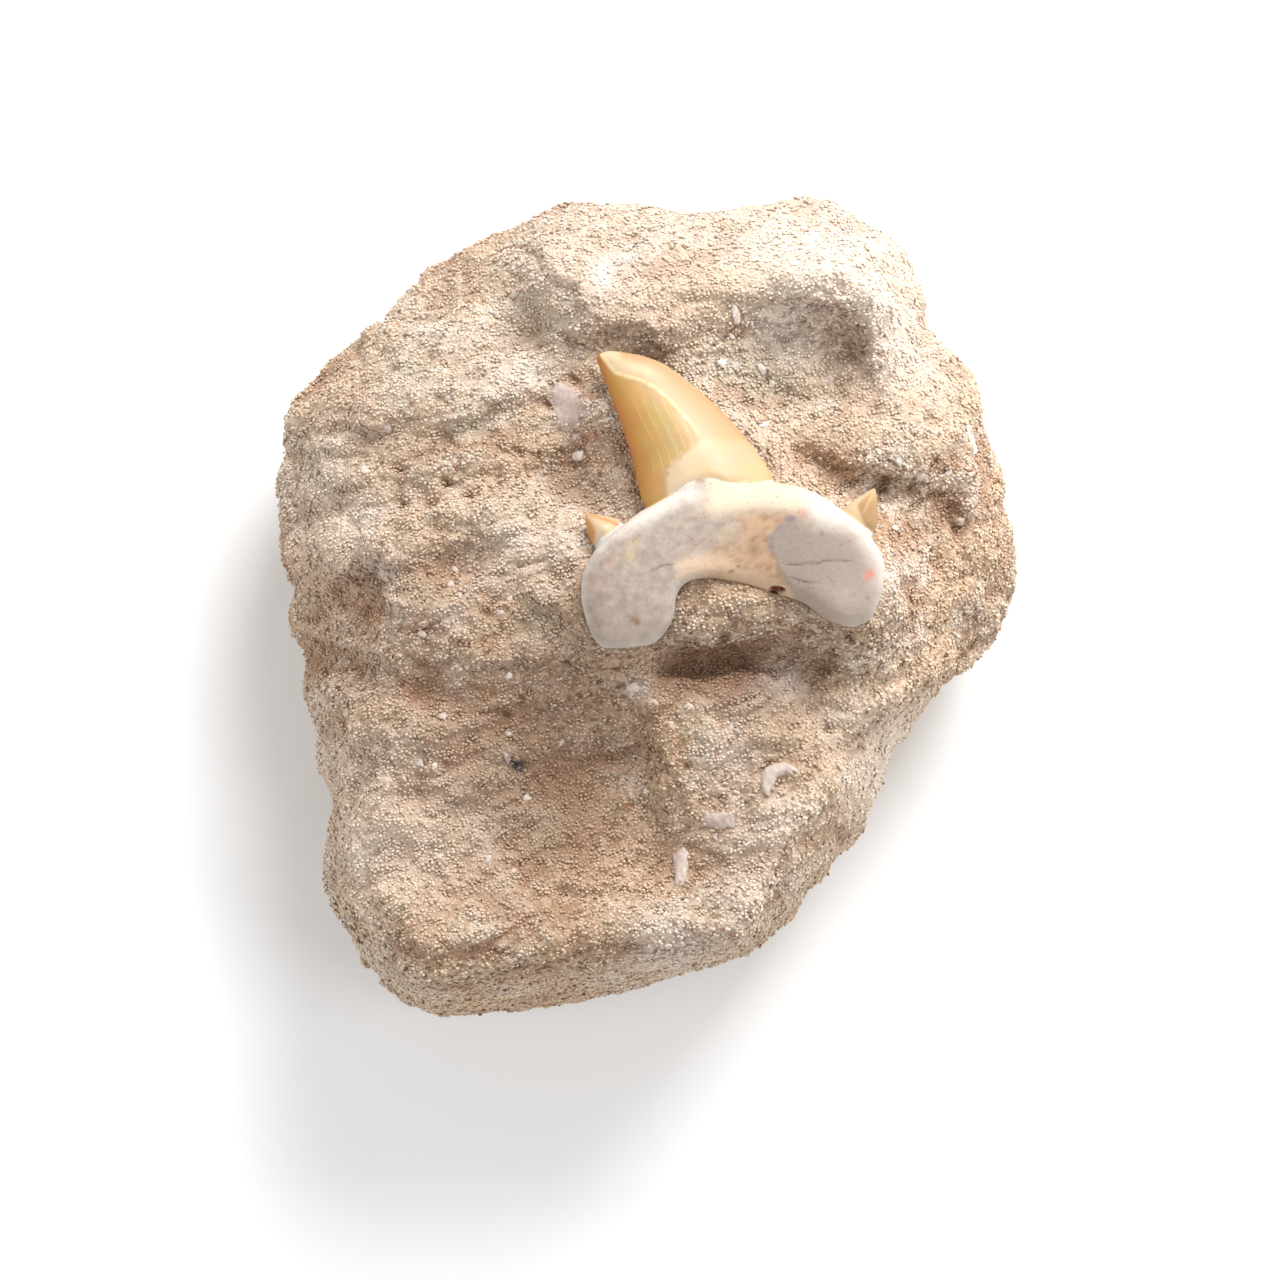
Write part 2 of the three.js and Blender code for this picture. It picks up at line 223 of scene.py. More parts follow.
for lightName in ("key", "side", "fill"):
    lightData = bpy.data.lights.new(lightName + "Light", "AREA")
    lightData.energy = stageLook[lightName + "Power"]
    lightData.size = stageLook[lightName + "Size"] * mm
    light = bpy.data.objects.new(lightName + "Light", lightData)
    light.location = Vector(stageLook[lightName + "Place"]) * mm
    light.rotation_euler = (-light.location).to_track_quat("-Z", "Y").to_euler()
    scene.collection.objects.link(light)

world = bpy.data.worlds.new("softWhiteRoom")
world.use_nodes = True
world.node_tree.nodes["Background"].inputs["Color"].default_value = (1, 1, 1, 1)
world.node_tree.nodes["Background"].inputs["Strength"].default_value = stageLook["worldLight"]
scene.world = world
scene.view_settings.view_transform = "Standard"

floorShape = bmesh.new()
bmesh.ops.create_grid(floorShape, x_segments=1, y_segments=1, size=stageLook["floorSize"] / 2 * mm)
floor = newPiece("floor", floorShape)
floorPaper, tree = newMaterial("matte white paper")
paperShader = addNode(
    tree, "ShaderNodeBsdfPrincipled",
    {"Base Color": toLinear(stageLook["floorColour"]), "Roughness": 0.9},
)
addNode(tree, "ShaderNodeOutputMaterial", links={"Surface": paperShader.outputs[0]})
floor.data.materials.append(floorPaper)
print("camera, light and floor")

toothLook = {
    "creaseAngle": math.radians(34),
    "voxel": 0.155,
    # where the enamel meets the root, from the left cusplet across the crown to the right one
    "neckLine": [
        (-9, 3.2), (-6.3, 4.6), (-5.2, 5.7), (-4.3, 6.8), (-3.2, 7.5), (-2.6, 8.0), (-2.3, 9.3),
        (-1.3, 9.7), (-0.9, 9.3), (0.1, 9.5), (1.0, 10.05), (1.9, 10.5), (2.7, 11.15), (3.5, 11.7),
        (4.3, 11.95), (5.75, 12.15), (6.9, 11.8), (9.2, 11.7), (10.6, 12.0), (11.4, 12.1),
        (13, 12.6), (15.6, 12.2), (16.8, 9.7), (18.3, 8.6), (20.0, 7.4), (21.5, 6.2), (24, 4),
    ],
    "neckGroove": 0.12,
    "neckWidth": 0.28,
    "crownReach": 8.0,  # width of the crown over which the enamel's colour runs
    "goldLimit": 0.46,  # how far along that run the golden face goes
    "crownLeftEdge": [
        (-0.9, 9.4), (-1.3, 12.6), (-1.65, 14.5), (-2.4, 16.7), (-3.35, 19.5), (-4.3, 21.9),
        (-4.7, 23.2),
    ],
    "crownRightEdge": [
        (11.6, 12.0), (9.6, 14.8), (7.6, 17.0), (5.7, 18.9), (2.3, 21.5), (0.3, 22.8), (-2.0, 23.4),
    ],
    # the bevel that runs down from the tip; the face right of it is paler
    "bevelLine": [
        (-4.2, 23.3), (-3.5, 22.3), (-3.0, 21.7), (-2.0, 21.35), (-0.8, 21.0), (0.5, 20.35),
        (1.5, 19.5), (2.5, 18.5), (3.3, 17.6), (3.9, 16.9), (4.4, 16.0), (4.6, 15.2),
    ],
    # where the golden face left of the bevel ends above the neck; the enamel beyond it is paler
    "goldEdge": [
        (4.7, 15.6), (4.15, 15.0), (3.2, 14.15), (2.7, 13.9), (2.2, 13.5), (1.75, 12.8),
        (1.6, 12.0), (1.7, 11.0), (1.5, 9.5),
    ],
    # growth lines in the enamel, from the left edge towards the bevel, and how strongly each shows
    "growthLines": [
        [(-2.7, 18.4), (-2.0, 16.6), (-1.15, 15.1), (-0.5, 13.6), (-0.1, 12.0)],
        [(-2.1, 18.4), (-1.3, 16.8), (-0.24, 15.33), (0.45, 14.36), (1.1, 13.18), (1.42, 12.33)],
        [(-1.9, 20.2), (-0.62, 17.95), (0.13, 17.31), (1.31, 15.97), (1.95, 14.79), (2.6, 13.6)],
        [
            (-1.6, 20.7), (-0.5, 18.95), (0.2, 18.2), (1.3, 17.0), (2.0, 15.9), (2.6, 14.9),
            (3.0, 14.2),
        ],
        [
            (-1.3, 21.1), (-0.4, 19.75), (0.24, 19.08), (1.31, 18.12), (2.06, 17.04), (2.81, 15.86),
            (3.5, 15.0),
        ],
        [
            (0.4, 20.2), (1.6, 18.7), (2.4, 17.8), (2.9, 17.3), (3.24, 16.83), (3.67, 16.08),
            (4.05, 15.2),
        ],
    ],
    "growthWeights": [0.35, 0.6, 1.0, 0.2, 0.85, 0.4],
    "growthSpacing": 0.8,  # beyond the outermost lines
    "leftCuspletCorner": (-2, 9.3),
    "rightCuspletStart": 15.8,
    "leftRidge": [(6.4, -4.9), (7.35, -4.7), (7.85, -4.95), (8.95, -5.75)],
    "leftBrink": [(-5.9, 9.0), (-4.2, 8.5), (-2.6, 7.9)],
    "rightRidge": [(8.0, 19.35), (8.55, 19.05), (9.4, 18.75), (9.8, 18.85), (11.3, 20.4)],
    "cracks": [
        [
            (11.9, 4.4), (12.9, 4.2), (13.8, 4.35), (15.0, 4.35), (15.6, 4.6), (17.1, 4.65),
            (18.3, 4.5),
        ],
        [(12.2, 3.1), (12.9, 3.1), (13.4, 2.85), (14.2, 2.65), (15.3, 2.65)],
        [(0.3, 3.75), (1.2, 4.15), (2.4, 4.35)],
    ],
    "crackWidth": 0.075,
    "crackDepth": 0.05,
    # the pads, as closed outlines of the grey part of each lobe
    "rightPad": [
        (12.0, 8.3), (10.7, 6.9), (10.6, 5.8), (11.3, 4.9), (11.4, 4.0), (12.1, 3.2), (12.4, 2.4),
        (13.1, 1.3), (14.2, 0.3), (15.5, -0.5), (17.4, -1.2), (19.2, -1.2), (20.3, -0.3),
        (20.6, 1.6), (20.6, 4.2), (20.1, 5.7), (18.9, 7.1), (17.3, 7.9), (15.4, 8.0), (14.0, 8.6),
        (12.9, 8.8),
    ],
    "leftPad": [
        (-4.4, -2.9), (-5.4, -1.5), (-5.8, 1.0), (-5.6, 3.4), (-4.8, 5.3), (-3.2, 6.6), (-1.0, 7.6),
        (1.2, 8.8), (3.0, 9.9), (5.2, 10.0), (7.4, 9.4), (8.3, 7.8), (8.1, 6.0), (6.8, 5.7),
        (4.6, 4.8), (3.2, 3.6), (2.6, 2.2), (2.5, 0.0), (2.0, -1.6), (0.2, -2.5), (-2.4, -3.0),
    ],
    "archLip": [(3.4, 3.9), (4.6, 4.2), (6.4, 4.2), (8.6, 2.8), (10.9, 1.9), (12.4, 1.5)],
    "padStep": 0.14,
    "marks": {
        "brownStain": [
            (9.4, 5.6, 0.7, 0.65), (10.1, 6.9, 0.5, 0.4), (8.05, 4.1, 0.2, 0.9),
            (7.3, 3.6, 0.2, 0.8), (7.6, 3.65, 0.18, 0.7), (-1.2, -0.6, 0.42, 0.75),
            (-0.95, -0.95, 0.26, 0.6), (4.5, 11.9, 0.3, 0.6), (4.9, 11.75, 0.2, 0.5),
            (15.45, 7.1, 0.24, 0.6), (19.5, 1.3, 0.2, 0.6), (-4.4, -1.2, 0.13, 0.6),
            (18.2, 6.8, 0.5, 0.3), (9.2, 6.6, 0.35, 0.3), (8.6, 7.6, 0.35, 0.25),
        ],
        "purpleStain": [
            (12.4, 8.3, 0.32, 0.8), (12.9, 8.4, 0.28, 0.7), (11.6, 7.5, 0.35, 0.4),
            (11.0, 6.6, 0.3, 0.4), (11.0, 5.9, 0.28, 0.5), (4.4, 7.4, 0.5, 0.4),
            (-5.1, 0.3, 0.13, 0.5), (-2.0, 2.3, 0.14, 0.5), (1.0, 5.5, 1.4, 0.15),
        ],
        "pinkStain": [
            (19.7, 3.4, 0.42, 0.9), (19.3, 3.0, 0.2, 0.4), (-3.5, 4.4, 0.35, 0.25),
            (-5.3, 2.6, 0.8, 0.2), (19.0, 8.4, 0.6, 0.4), (16.9, 9.6, 0.3, 0.7),
            (4.9, 10.0, 0.3, 0.25), (13.9, 9.0, 0.5, 0.3), (15.6, 9.3, 0.5, 0.25),
        ],
        "yellowStain": [(-1.65, 5.1, 0.5, 0.45), (-1.2, 6.2, 0.5, 0.3), (7.0, 7.0, 0.6, 0.25)],
    },
    "foramen": (11.5, 1.95),
    "foramenSize": (0.68, 0.3),
    "foramenDepth": 0.4,
}


def insideOutline(outline, x, y):  # distance to a closed outline, counted positive inside it
    inside = False
    for (ax, ay), (bx, by) in zip(outline, outline[1:] + outline[:1]):
        if (ay > y) != (by > y) and x < ax + (y - ay) / (by - ay) * (bx - ax):
            inside = not inside
    away = distanceToLine(outline + outline[:1], x, y)
    return away if inside else -away


sharkTooth = copyNode("shark_tooth", "sharkTooth")
toothShape = openShape(sharkTooth)
creases = toothShape.edges.layers.float.new("crease_edge")
for edge in toothShape.edges:
    if edge.calc_face_angle(0) > toothLook["creaseAngle"]:
        edge[creases] = 1
closeShape(sharkTooth, toothShape)
addModifier(sharkTooth, "SUBSURF", levels=2, render_levels=2)
addModifier(sharkTooth, "REMESH", mode="VOXEL", voxel_size=toothLook["voxel"] * mm)
applyModifiers(sharkTooth)


def growthPlace(x, y):  # counts growth lines from the left, whole numbers on the lines
    before, count = None, 0
    for line in toothLook["growthLines"]:
        away, side, _ = besideLine(line, x, y)
        if side > 0:
            after = away
            break
        before, count = away, count + 1
    else:
        return count - 1 + before / toothLook["growthSpacing"]
    if before is None:
        return -after / toothLook["growthSpacing"]
    return count - 1 + before / (before + after)


def crownFields(x, y, enamel):  # how far across the crown a place is, and what shows there
    onCrown = smoothStep(8.6, 9.6, y) * smoothStep(16.4, 15.4, x + 0.6 * (y - 9)) * enamel
    fromLeft = distanceToLine(toothLook["crownLeftEdge"], x, y)
    fromRight = distanceToLine(toothLook["crownRightEdge"], x, y)
    fromBevel, side, _ = besideLine(toothLook["bevelLine"], x, y)
    fromGold, goldSide, _ = besideLine(toothLook["bevelLine"][:-1] + toothLook["goldEdge"], x, y)
    ragged = goldSide * fromGold + 0.3 * noise.noise(Vector((x, y, 7)) / 0.4)
    gold = smoothStep(0.35, -0.3, ragged)
    inner = smoothStep(0.9, 2.2, fromLeft) * smoothStep(0.1, -0.3, ragged)
    count = growthPlace(x, y)
    weights = toothLook["growthWeights"]
    weight = weights[max(0, min(len(weights) - 1, round(count)))]
    uneven = 0.8 + 0.8 * noise.noise(Vector((x, y, 0)) / 1.8)
    showing = smoothStep(20.0, 18.8, y) * smoothStep(12.2, 13.4, y)  # heights that show lines
    wavy = fromBevel + 0.1 * noise.noise(Vector((x, y, 2)) / 0.5)
    taper = 1 + 0.14 * max(0, y - 18) + 0.1 * max(0, 13.5 - y)  # the crown narrows both ways
    reach = fromLeft * taper / toothLook["crownReach"]
    return {
        "across": min(1.0, reach) * (1 - gold) + min(toothLook["goldLimit"], reach) * gold,
        "amber": 0.28 * math.exp(-fromRight / 0.5) * smoothStep(11.6, 12.6, y) * onCrown,
        "outer": smoothStep(-0.1, 0.12, side * fromBevel) * smoothStep(14.5, 17.0, y) * onCrown,
        # painted highlight: the bevel's crest is painted as a pale line for the light it catches,
        # and the shaping below raises it a little
        "bevel": math.exp(-((wavy / 0.14) ** 2)) * smoothStep(15.2, 17.0, y) * onCrown,
        "growth": count,
        "growthShows": weight * inner * uneven * showing * onCrown,
        # the pale enamel at the neck is painted stronger to the left, as painted light where the
        # crown turns away from the light
        "paleBase": (1 - gold) * onCrown * max(
            smoothStep(16.2, 14.8, y) * (0.4 + 0.6 * smoothStep(5.6, 3.6, x)),
            0.75 * smoothStep(20.8, 22.2, y) * smoothStep(0.2, 1.0, fromRight),
        ),
    }


def cuspletFields(x, y, enamel):
    if x < 0:
        facet = smoothStep(0.2, -0.2, x - alongLine(toothLook["leftRidge"], y)) * enamel
        brink = math.exp(-distanceToLine(toothLook["leftBrink"], x, y) / 0.22) * (1 - facet)
        return {
            "across": 0.6 - 0.35 * facet, "amber": 0.35 * facet + 0.7 * brink,
            "paleFacet": (1 - facet) * (1 - brink) * enamel,
        }
    facet = smoothStep(-0.15, 0.3, x - alongLine(toothLook["rightRidge"], y))
    # the lower part of the right cusplet's outer facet is painted darker tan: partly its own tan,
    # partly painted shade where it faces down away from the light
    dusky = smoothStep(11.2, 9.4, y) * facet * enamel
    return {"across": 0.85 - 0.4 * facet, "dusky": 0.8 * dusky, "paleFacet": (1 - facet) * enamel}


def rootFields(x, y, normal, root):
    leftPad = insideOutline(toothLook["leftPad"], x, y)
    rightPad = insideOutline(toothLook["rightPad"], x, y)
    drift = 0.3 * noise.noise(Vector((x, y, 0)) / 0.9)
    soft = 1.0 + 0.8 * smoothStep(2.0, 6.0, x)
    onLeft = smoothStep(-0.7 * soft, 0.9 * soft, leftPad + drift)
    shoulder = smoothStep(4.5, 8.0, y) * smoothStep(12, 15, x)
    wide = 0.3 + 1.2 * max(smoothStep(15.0, 19.5, x), shoulder)
    onRight = smoothStep(-wide, 1.3 * wide, rightPad + 0.7 * drift)
    crack = 0.0
    for line in toothLook["cracks"]:
        away, _, fromEnd = besideLine(line, x, y)
        sharp = math.exp(-((away / toothLook["crackWidth"]) ** 2))
        crack = max(crack, sharp * min(1, fromEnd + 0.3))
    holeX, holeY = toothLook["foramen"]
    holeWidth, holeHeight = toothLook["foramenSize"]
    hole = math.hypot((x - holeX) / holeWidth, (y - holeY + 0.12 * (x - holeX)) / holeHeight)
    toLip = distanceToLine(toothLook["archLip"], x, y)
    middle = smoothStep(3.4, 6.2, x) * smoothStep(15.5, 13.0, x)
    band = smoothStep(8.3, 10.3, y + 0.1 * abs(x - 10)) * smoothStep(3.5, 6.5, x)
    brushed = noise.noise(Vector(((x + 0.8 * y) / 1.1, (y - 0.4 * x) / 0.5, 4)))
    brushed += 0.9 * noise.noise(Vector((x, y, 9)) / 0.8)
    hollowStreak = 0.8 * smoothStep(-0.1, 0.7, brushed) * smoothStep(10.5, 8.5, y)
    return {
        # painted highlight: the root's rims and sides outside the pads are painted paler, partly
        # the paler dentine there and partly the light they catch
        "padRim": root * (1 - max(onLeft, onRight)) * (1 - middle),
        "rightPad": root * onRight,
        "hollow": root * (1 - max(onLeft, onRight)) * middle * (1 - band),
        "hollowStreak": root * (1 - max(onLeft, onRight)) * middle * hollowStreak,
        "creamBand": root * (1 - onRight) * band,
        # painted light: the lower parts of the pads, which curve down away from the light, are
        # painted paler to lift their shade
        "palePad": root * max(
            onRight * smoothStep(5.0, -0.5, y), 0.6 * onLeft * smoothStep(0.5, -2.8, y),
        ),
        # painted light: the lower lip of the arch, where the rounded edge turns away from the
        # light, is painted paler
        "paleLip": root * (1 - onRight) * 0.8 * smoothStep(1.6, 0.3, toLip),
        "crack": crack * root * normal.z,
        "foramen": smoothStep(1.15, 0.8, hole),
        # painted shadow: the right side inside the foramen is painted near black
        "foramenDark": smoothStep(0.1, 0.35, x - holeX) * smoothStep(1.1, 0.7, hole),
    }


toothShape = openShape(sharkTooth)
relax(toothShape, 3)
toothFields = {
    name: [0.0] * len(toothShape.verts)
    for name in (
        "enamel", "across", "amber", "outer", "bevel", "growth", "growthShows", "paleBase",
        "paleFacet", "dusky", "padRim", "rightPad", "hollow", "hollowStreak", "creamBand",
        "palePad", "paleLip", "crack", "foramen", "foramenDark", *toothLook["marks"],
    )
}
for vert in toothShape.verts:
    place = vert.co / mm
    x, y, z = place
    facing = max(0.0, vert.normal.z)
    enamel = smoothStep(-0.08, 0.08, y - alongLine(toothLook["neckLine"], x))
    root = 1 - enamel
    fields = {"enamel": enamel}
    if enamel > 0:
        cornerX, cornerY = toothLook["leftCuspletCorner"]
        onCusplet = y < cornerY and x < cornerX or x > toothLook["rightCuspletStart"]
        fields.update((cuspletFields if onCusplet else crownFields)(x, y, enamel))
    if root > 0:
        fields.update(rootFields(x, y, vert.normal, root))
        for name, marks in toothLook["marks"].items():
            fields[name] = min(1.0, markSum(marks, x, y)) * root * facing
    for name in fields:
        if name != "growth":
            fields[name] = max(0.0, fields[name])

    # shape: a fine groove at the neck, raised pads, cracks, the foramen, pores and growth lines
    toNeck = distanceToLine(toothLook["neckLine"], x, y)
    depth = toothLook["neckGroove"] * math.exp(-((toNeck / toothLook["neckWidth"]) ** 2)) * facing
    if root > 0:
        sunk = max(fields["hollow"], 0.7 * fields["creamBand"])
        depth += toothLook["padStep"] * sunk * facing
        holeDepth = fields["foramen"] * toothLook["foramenDepth"] * smoothStep(30.5, 31.5, z)
        depth += fields["crack"] * toothLook["crackDepth"] + holeDepth
        depth += (0.05 * noise.noise(place / 1.6) + 0.02 * noise.noise(place / 0.45)) * root
    if enamel > 0:
        depth -= 0.05 * fields.get("bevel", 0)
        ripple = noise.noise(Vector((x / 0.55 + y / 1.4, y / 9, 3)))
        depth += 0.012 * ripple * enamel * facing
    vert.co -= vert.normal * depth * mm
    for name, value in fields.items():
        toothFields[name][vert.index] = value
closeShape(sharkTooth, toothShape)
storeFields(sharkTooth, toothFields)
shadeSmooth(sharkTooth)
print("tooth shaped:", len(sharkTooth.data.vertices), "points")

# Fossil enamel, grown as dense crystals and polished by wear: glossy and a little see-through,
# so it is amber where it thins to an edge and pale where it lies thick
enamelLook = {
    "across": [  # from the cutting edge on the left to the far side of the crown
        (0.0, "#A66528"), (0.1, "#B27C36"), (0.25, "#B98F52"), (0.375, "#BA965E"),
        (0.5, "#B99970"), (0.7, "#B99B74"), (0.9, "#B69A72"),
    ],
    "layers": {
        "outer": "#B59B78", "paleBase": "#CDB595", "amber": "#B36A24", "bevel": "#DCC396",
        "paleFacet": "#C9B08E", "dusky": "#93754F",
    },
    "cloudSize": 2.4,  # milky clouds in the enamel
    "cloudStrength": 0.35,
    "growthWidth": 0.055,  # as a share of the space between growth lines
    "growthStrength": 0.85,
    "growthColour": "#F8ECD0",
    "roughness": 0.4,
    "glow": 0.1,  # how much light sinks in, and how far for red, green and blue
    "glowReach": (0.8, 0.5, 0.2),
}
enamel, tree = newMaterial("fossil enamel, dense and glossy")
across = addNode(tree, "ShaderNodeAttribute", {"attribute_name": "across"})
place = addNode(tree, "ShaderNodeTexCoord").outputs["Object"]
cloud = addNode(
    tree, "ShaderNodeTexNoise",
    {"Scale": 1 / (enamelLook["cloudSize"] * mm), "Detail": 4.0}, {"Vector": place},
)
body = setRamp(
    addNode(tree, "ShaderNodeValToRGB", links={"Fac": across.outputs["Fac"]}), enamelLook["across"]
)
clouded = addNode(
    tree, "ShaderNodeMix",
    {"data_type": "RGBA", "blend_type": "SOFT_LIGHT", 0: enamelLook["cloudStrength"]},
    {6: body, 7: cloud.outputs["Color"]},
)
# thin pale growth lines, where the count of lines is a whole number
growth = addNode(tree, "ShaderNodeAttribute", {"attribute_name": "growth"}).outputs["Fac"]
shows = addNode(tree, "ShaderNodeAttribute", {"attribute_name": "growthShows"}).outputs["Fac"]
nearest = addNode(tree, "ShaderNodeMath", {"operation": "ROUND"}, {0: growth})
apart = addNode(
    tree, "ShaderNodeMath", {"operation": "SUBTRACT"}, {0: growth, 1: nearest.outputs[0]}
)
gap = addNode(tree, "ShaderNodeMath", {"operation": "ABSOLUTE"}, {0: apart.outputs[0]})
onLine = addNode(
    tree, "ShaderNodeMapRange",
    {"From Max": enamelLook["growthWidth"], "To Min": enamelLook["growthStrength"], "To Max": 0.0},
    {"Value": gap.outputs[0]},
)
share = addNode(
    tree, "ShaderNodeMath", {"operation": "MULTIPLY", "use_clamp": True},
    {0: onLine.outputs[0], 1: shows},
)
lined = addNode(
    tree, "ShaderNodeMix", {"data_type": "RGBA", 7: toLinear(enamelLook["growthColour"])},
    {0: share.outputs[0], 6: layerColours(tree, clouded.outputs[2], enamelLook["layers"])},
)
enamelShader = addNode(
    tree, "ShaderNodeBsdfPrincipled",
    {
        "Roughness": enamelLook["roughness"], "Specular IOR Level": 0.3,
        "Subsurface Weight": enamelLook["glow"], "Subsurface Scale": 1.0,
        "Subsurface Radius": [reach * mm for reach in enamelLook["glowReach"]],
    },
    {"Base Color": lined.outputs[2]},
)
addNode(tree, "ShaderNodeOutputMaterial", links={"Surface": enamelShader.outputs[0]})

# Root dentine, once porous bone and now chalky: matte, finely pored, stained by iron and clay
dentineLook = {
    "body": [(0.35, "#95857A"), (0.5, "#9F9084"), (0.65, "#A99A8E")],
    "layers": {
        "rightPad": "#96887D", "hollow": "#B5967A", "hollowStreak": "#9C795C",
        "creamBand": "#D4C2AA", "padRim": "#CDC5BB", "palePad": "#AC9C8F",
        "paleLip": "#CBAF94", "brownStain": "#83634A", "purpleStain": "#7B6C72",
        "pinkStain": "#C4736A", "yellowStain": "#C6B27C", "crack": "#6C5E53",
        "foramen": "#7C3A1C", "foramenDark": "#220D07",
    },
    "mottleSize": 0.9,
    "fleckSize": 0.19,
    "flecks": [(0.29, "#A4978C"), (0.38, "#FFFFFF")],
    "fleckStrength": 0.5,
    "poreDepth": 0.05,
    "poreStrength": 0.35,
    "roughness": 0.75,
}
dentine, tree = newMaterial("fossil root dentine, chalky and pored")
place = addNode(tree, "ShaderNodeTexCoord").outputs["Object"]
mottle = addNode(
    tree, "ShaderNodeTexNoise",
    {"Scale": 1 / (dentineLook["mottleSize"] * mm), "Detail": 5.0}, {"Vector": place},
)
body = setRamp(
    addNode(tree, "ShaderNodeValToRGB", links={"Fac": mottle.outputs["Fac"]}), dentineLook["body"]
)
grit = addNode(
    tree, "ShaderNodeTexNoise",
    {"Scale": 1 / (dentineLook["fleckSize"] * mm), "Detail": 2.0}, {"Vector": place},
)
flecks = setRamp(
    addNode(tree, "ShaderNodeValToRGB", links={"Fac": grit.outputs["Fac"]}), dentineLook["flecks"]
)
flecked = addNode(
    tree, "ShaderNodeMix",
    {"data_type": "RGBA", "blend_type": "MULTIPLY", 0: dentineLook["fleckStrength"]},
    {6: layerColours(tree, body, dentineLook["layers"]), 7: flecks},
)
bump = addNode(
    tree, "ShaderNodeBump",
    {"Strength": dentineLook["poreStrength"], "Distance": dentineLook["poreDepth"] * mm},
    {"Height": grit.outputs["Fac"]},
)
dentineShader = addNode(
    tree, "ShaderNodeBsdfPrincipled",
    {"Roughness": dentineLook["roughness"], "Specular IOR Level": 0.3},
    {"Base Color": flecked.outputs[2], "Normal": bump.outputs[0]},
)
addNode(tree, "ShaderNodeOutputMaterial", links={"Surface": dentineShader.outputs[0]})

sharkTooth.data.materials.clear()
sharkTooth.data.materials.append(dentine)
sharkTooth.data.materials.append(enamel)
enamelField = toothFields["enamel"]
for polygon in sharkTooth.data.polygons:
    enamelShare = sum(enamelField[i] for i in polygon.vertices) / len(polygon.vertices)
    polygon.material_index = int(enamelShare > 0.5)
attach(sharkTooth, "root")
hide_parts("shark_tooth")
toothTree = BVHTree.FromPolygons(
    [vert.co for vert in sharkTooth.data.vertices],
    [polygon.vertices for polygon in sharkTooth.data.polygons],
)
print("tooth finished")

# shells and pebbles that show in the break: x, y, half length, half width, turn in degrees,
# height, tone (0 dark, 1 white) and the radius they are bent to (0 when straight)
shellBits = [
    (-7.4, 19.1, 2.3, 1.35, -62, 0.24, 0.44, 0), (-6.45, 14.4, 0.5, 0.45, 0, 0.5, 0.85, 0),
    (12.3, -15.5, 2.3, 0.6, 128, 0.5, 0.6, 1.5), (2.98, -23.1, 1.75, 0.62, 87, 0.4, 0.55, 0),
    (6.4, -18.8, 1.45, 0.72, 0, 0.2, 0.45, 0), (30.0, 16.1, 1.4, 0.32, -72, 0.3, 0.95, 0),
    (22.7, 13.9, 0.85, 0.3, -25, 0.25, 0.9, 0), (24.9, 12.5, 0.45, 0.35, 50, 0.3, 0.8, 0),
    (28.8, 8.5, 0.4, 0.37, 0, 0.4, 0.7, 0), (8.0, 27.2, 0.95, 0.33, -75, 0.25, 0.9, 0),
    (6.7, 22.9, 0.46, 0.38, -10, 0.4, 0.95, 0), (10.4, 22.4, 0.6, 0.33, -50, 0.3, 0.85, 0),
    (15.0, 34.6, 0.85, 0.7, 10, 0.2, 0.95, 0), (-10.15, 2.7, 0.45, 0.07, 70, 0.14, 0.0, 0),
    (-12.2, -13.8, 0.75, 0.15, -22, 0.2, 0.06, 0), (-12.9, -13.2, 0.5, 0.28, -60, 0.3, 0.45, 0),
    (-11.5, -14.3, 0.3, 0.22, 30, 0.25, 0.1, 0), (-18.8, -9.4, 0.36, 0.3, 0, 0.35, 0.65, 0),
    (13.3, 31.9, 0.4, 0.3, 40, 0.2, 0.9, 0), (-1.4, -6.8, 0.6, 0.4, 15, 0.25, 0.75, 0),
    (10.6, 17.2, 0.5, 0.22, 20, 0.2, 0.8, 0),
]

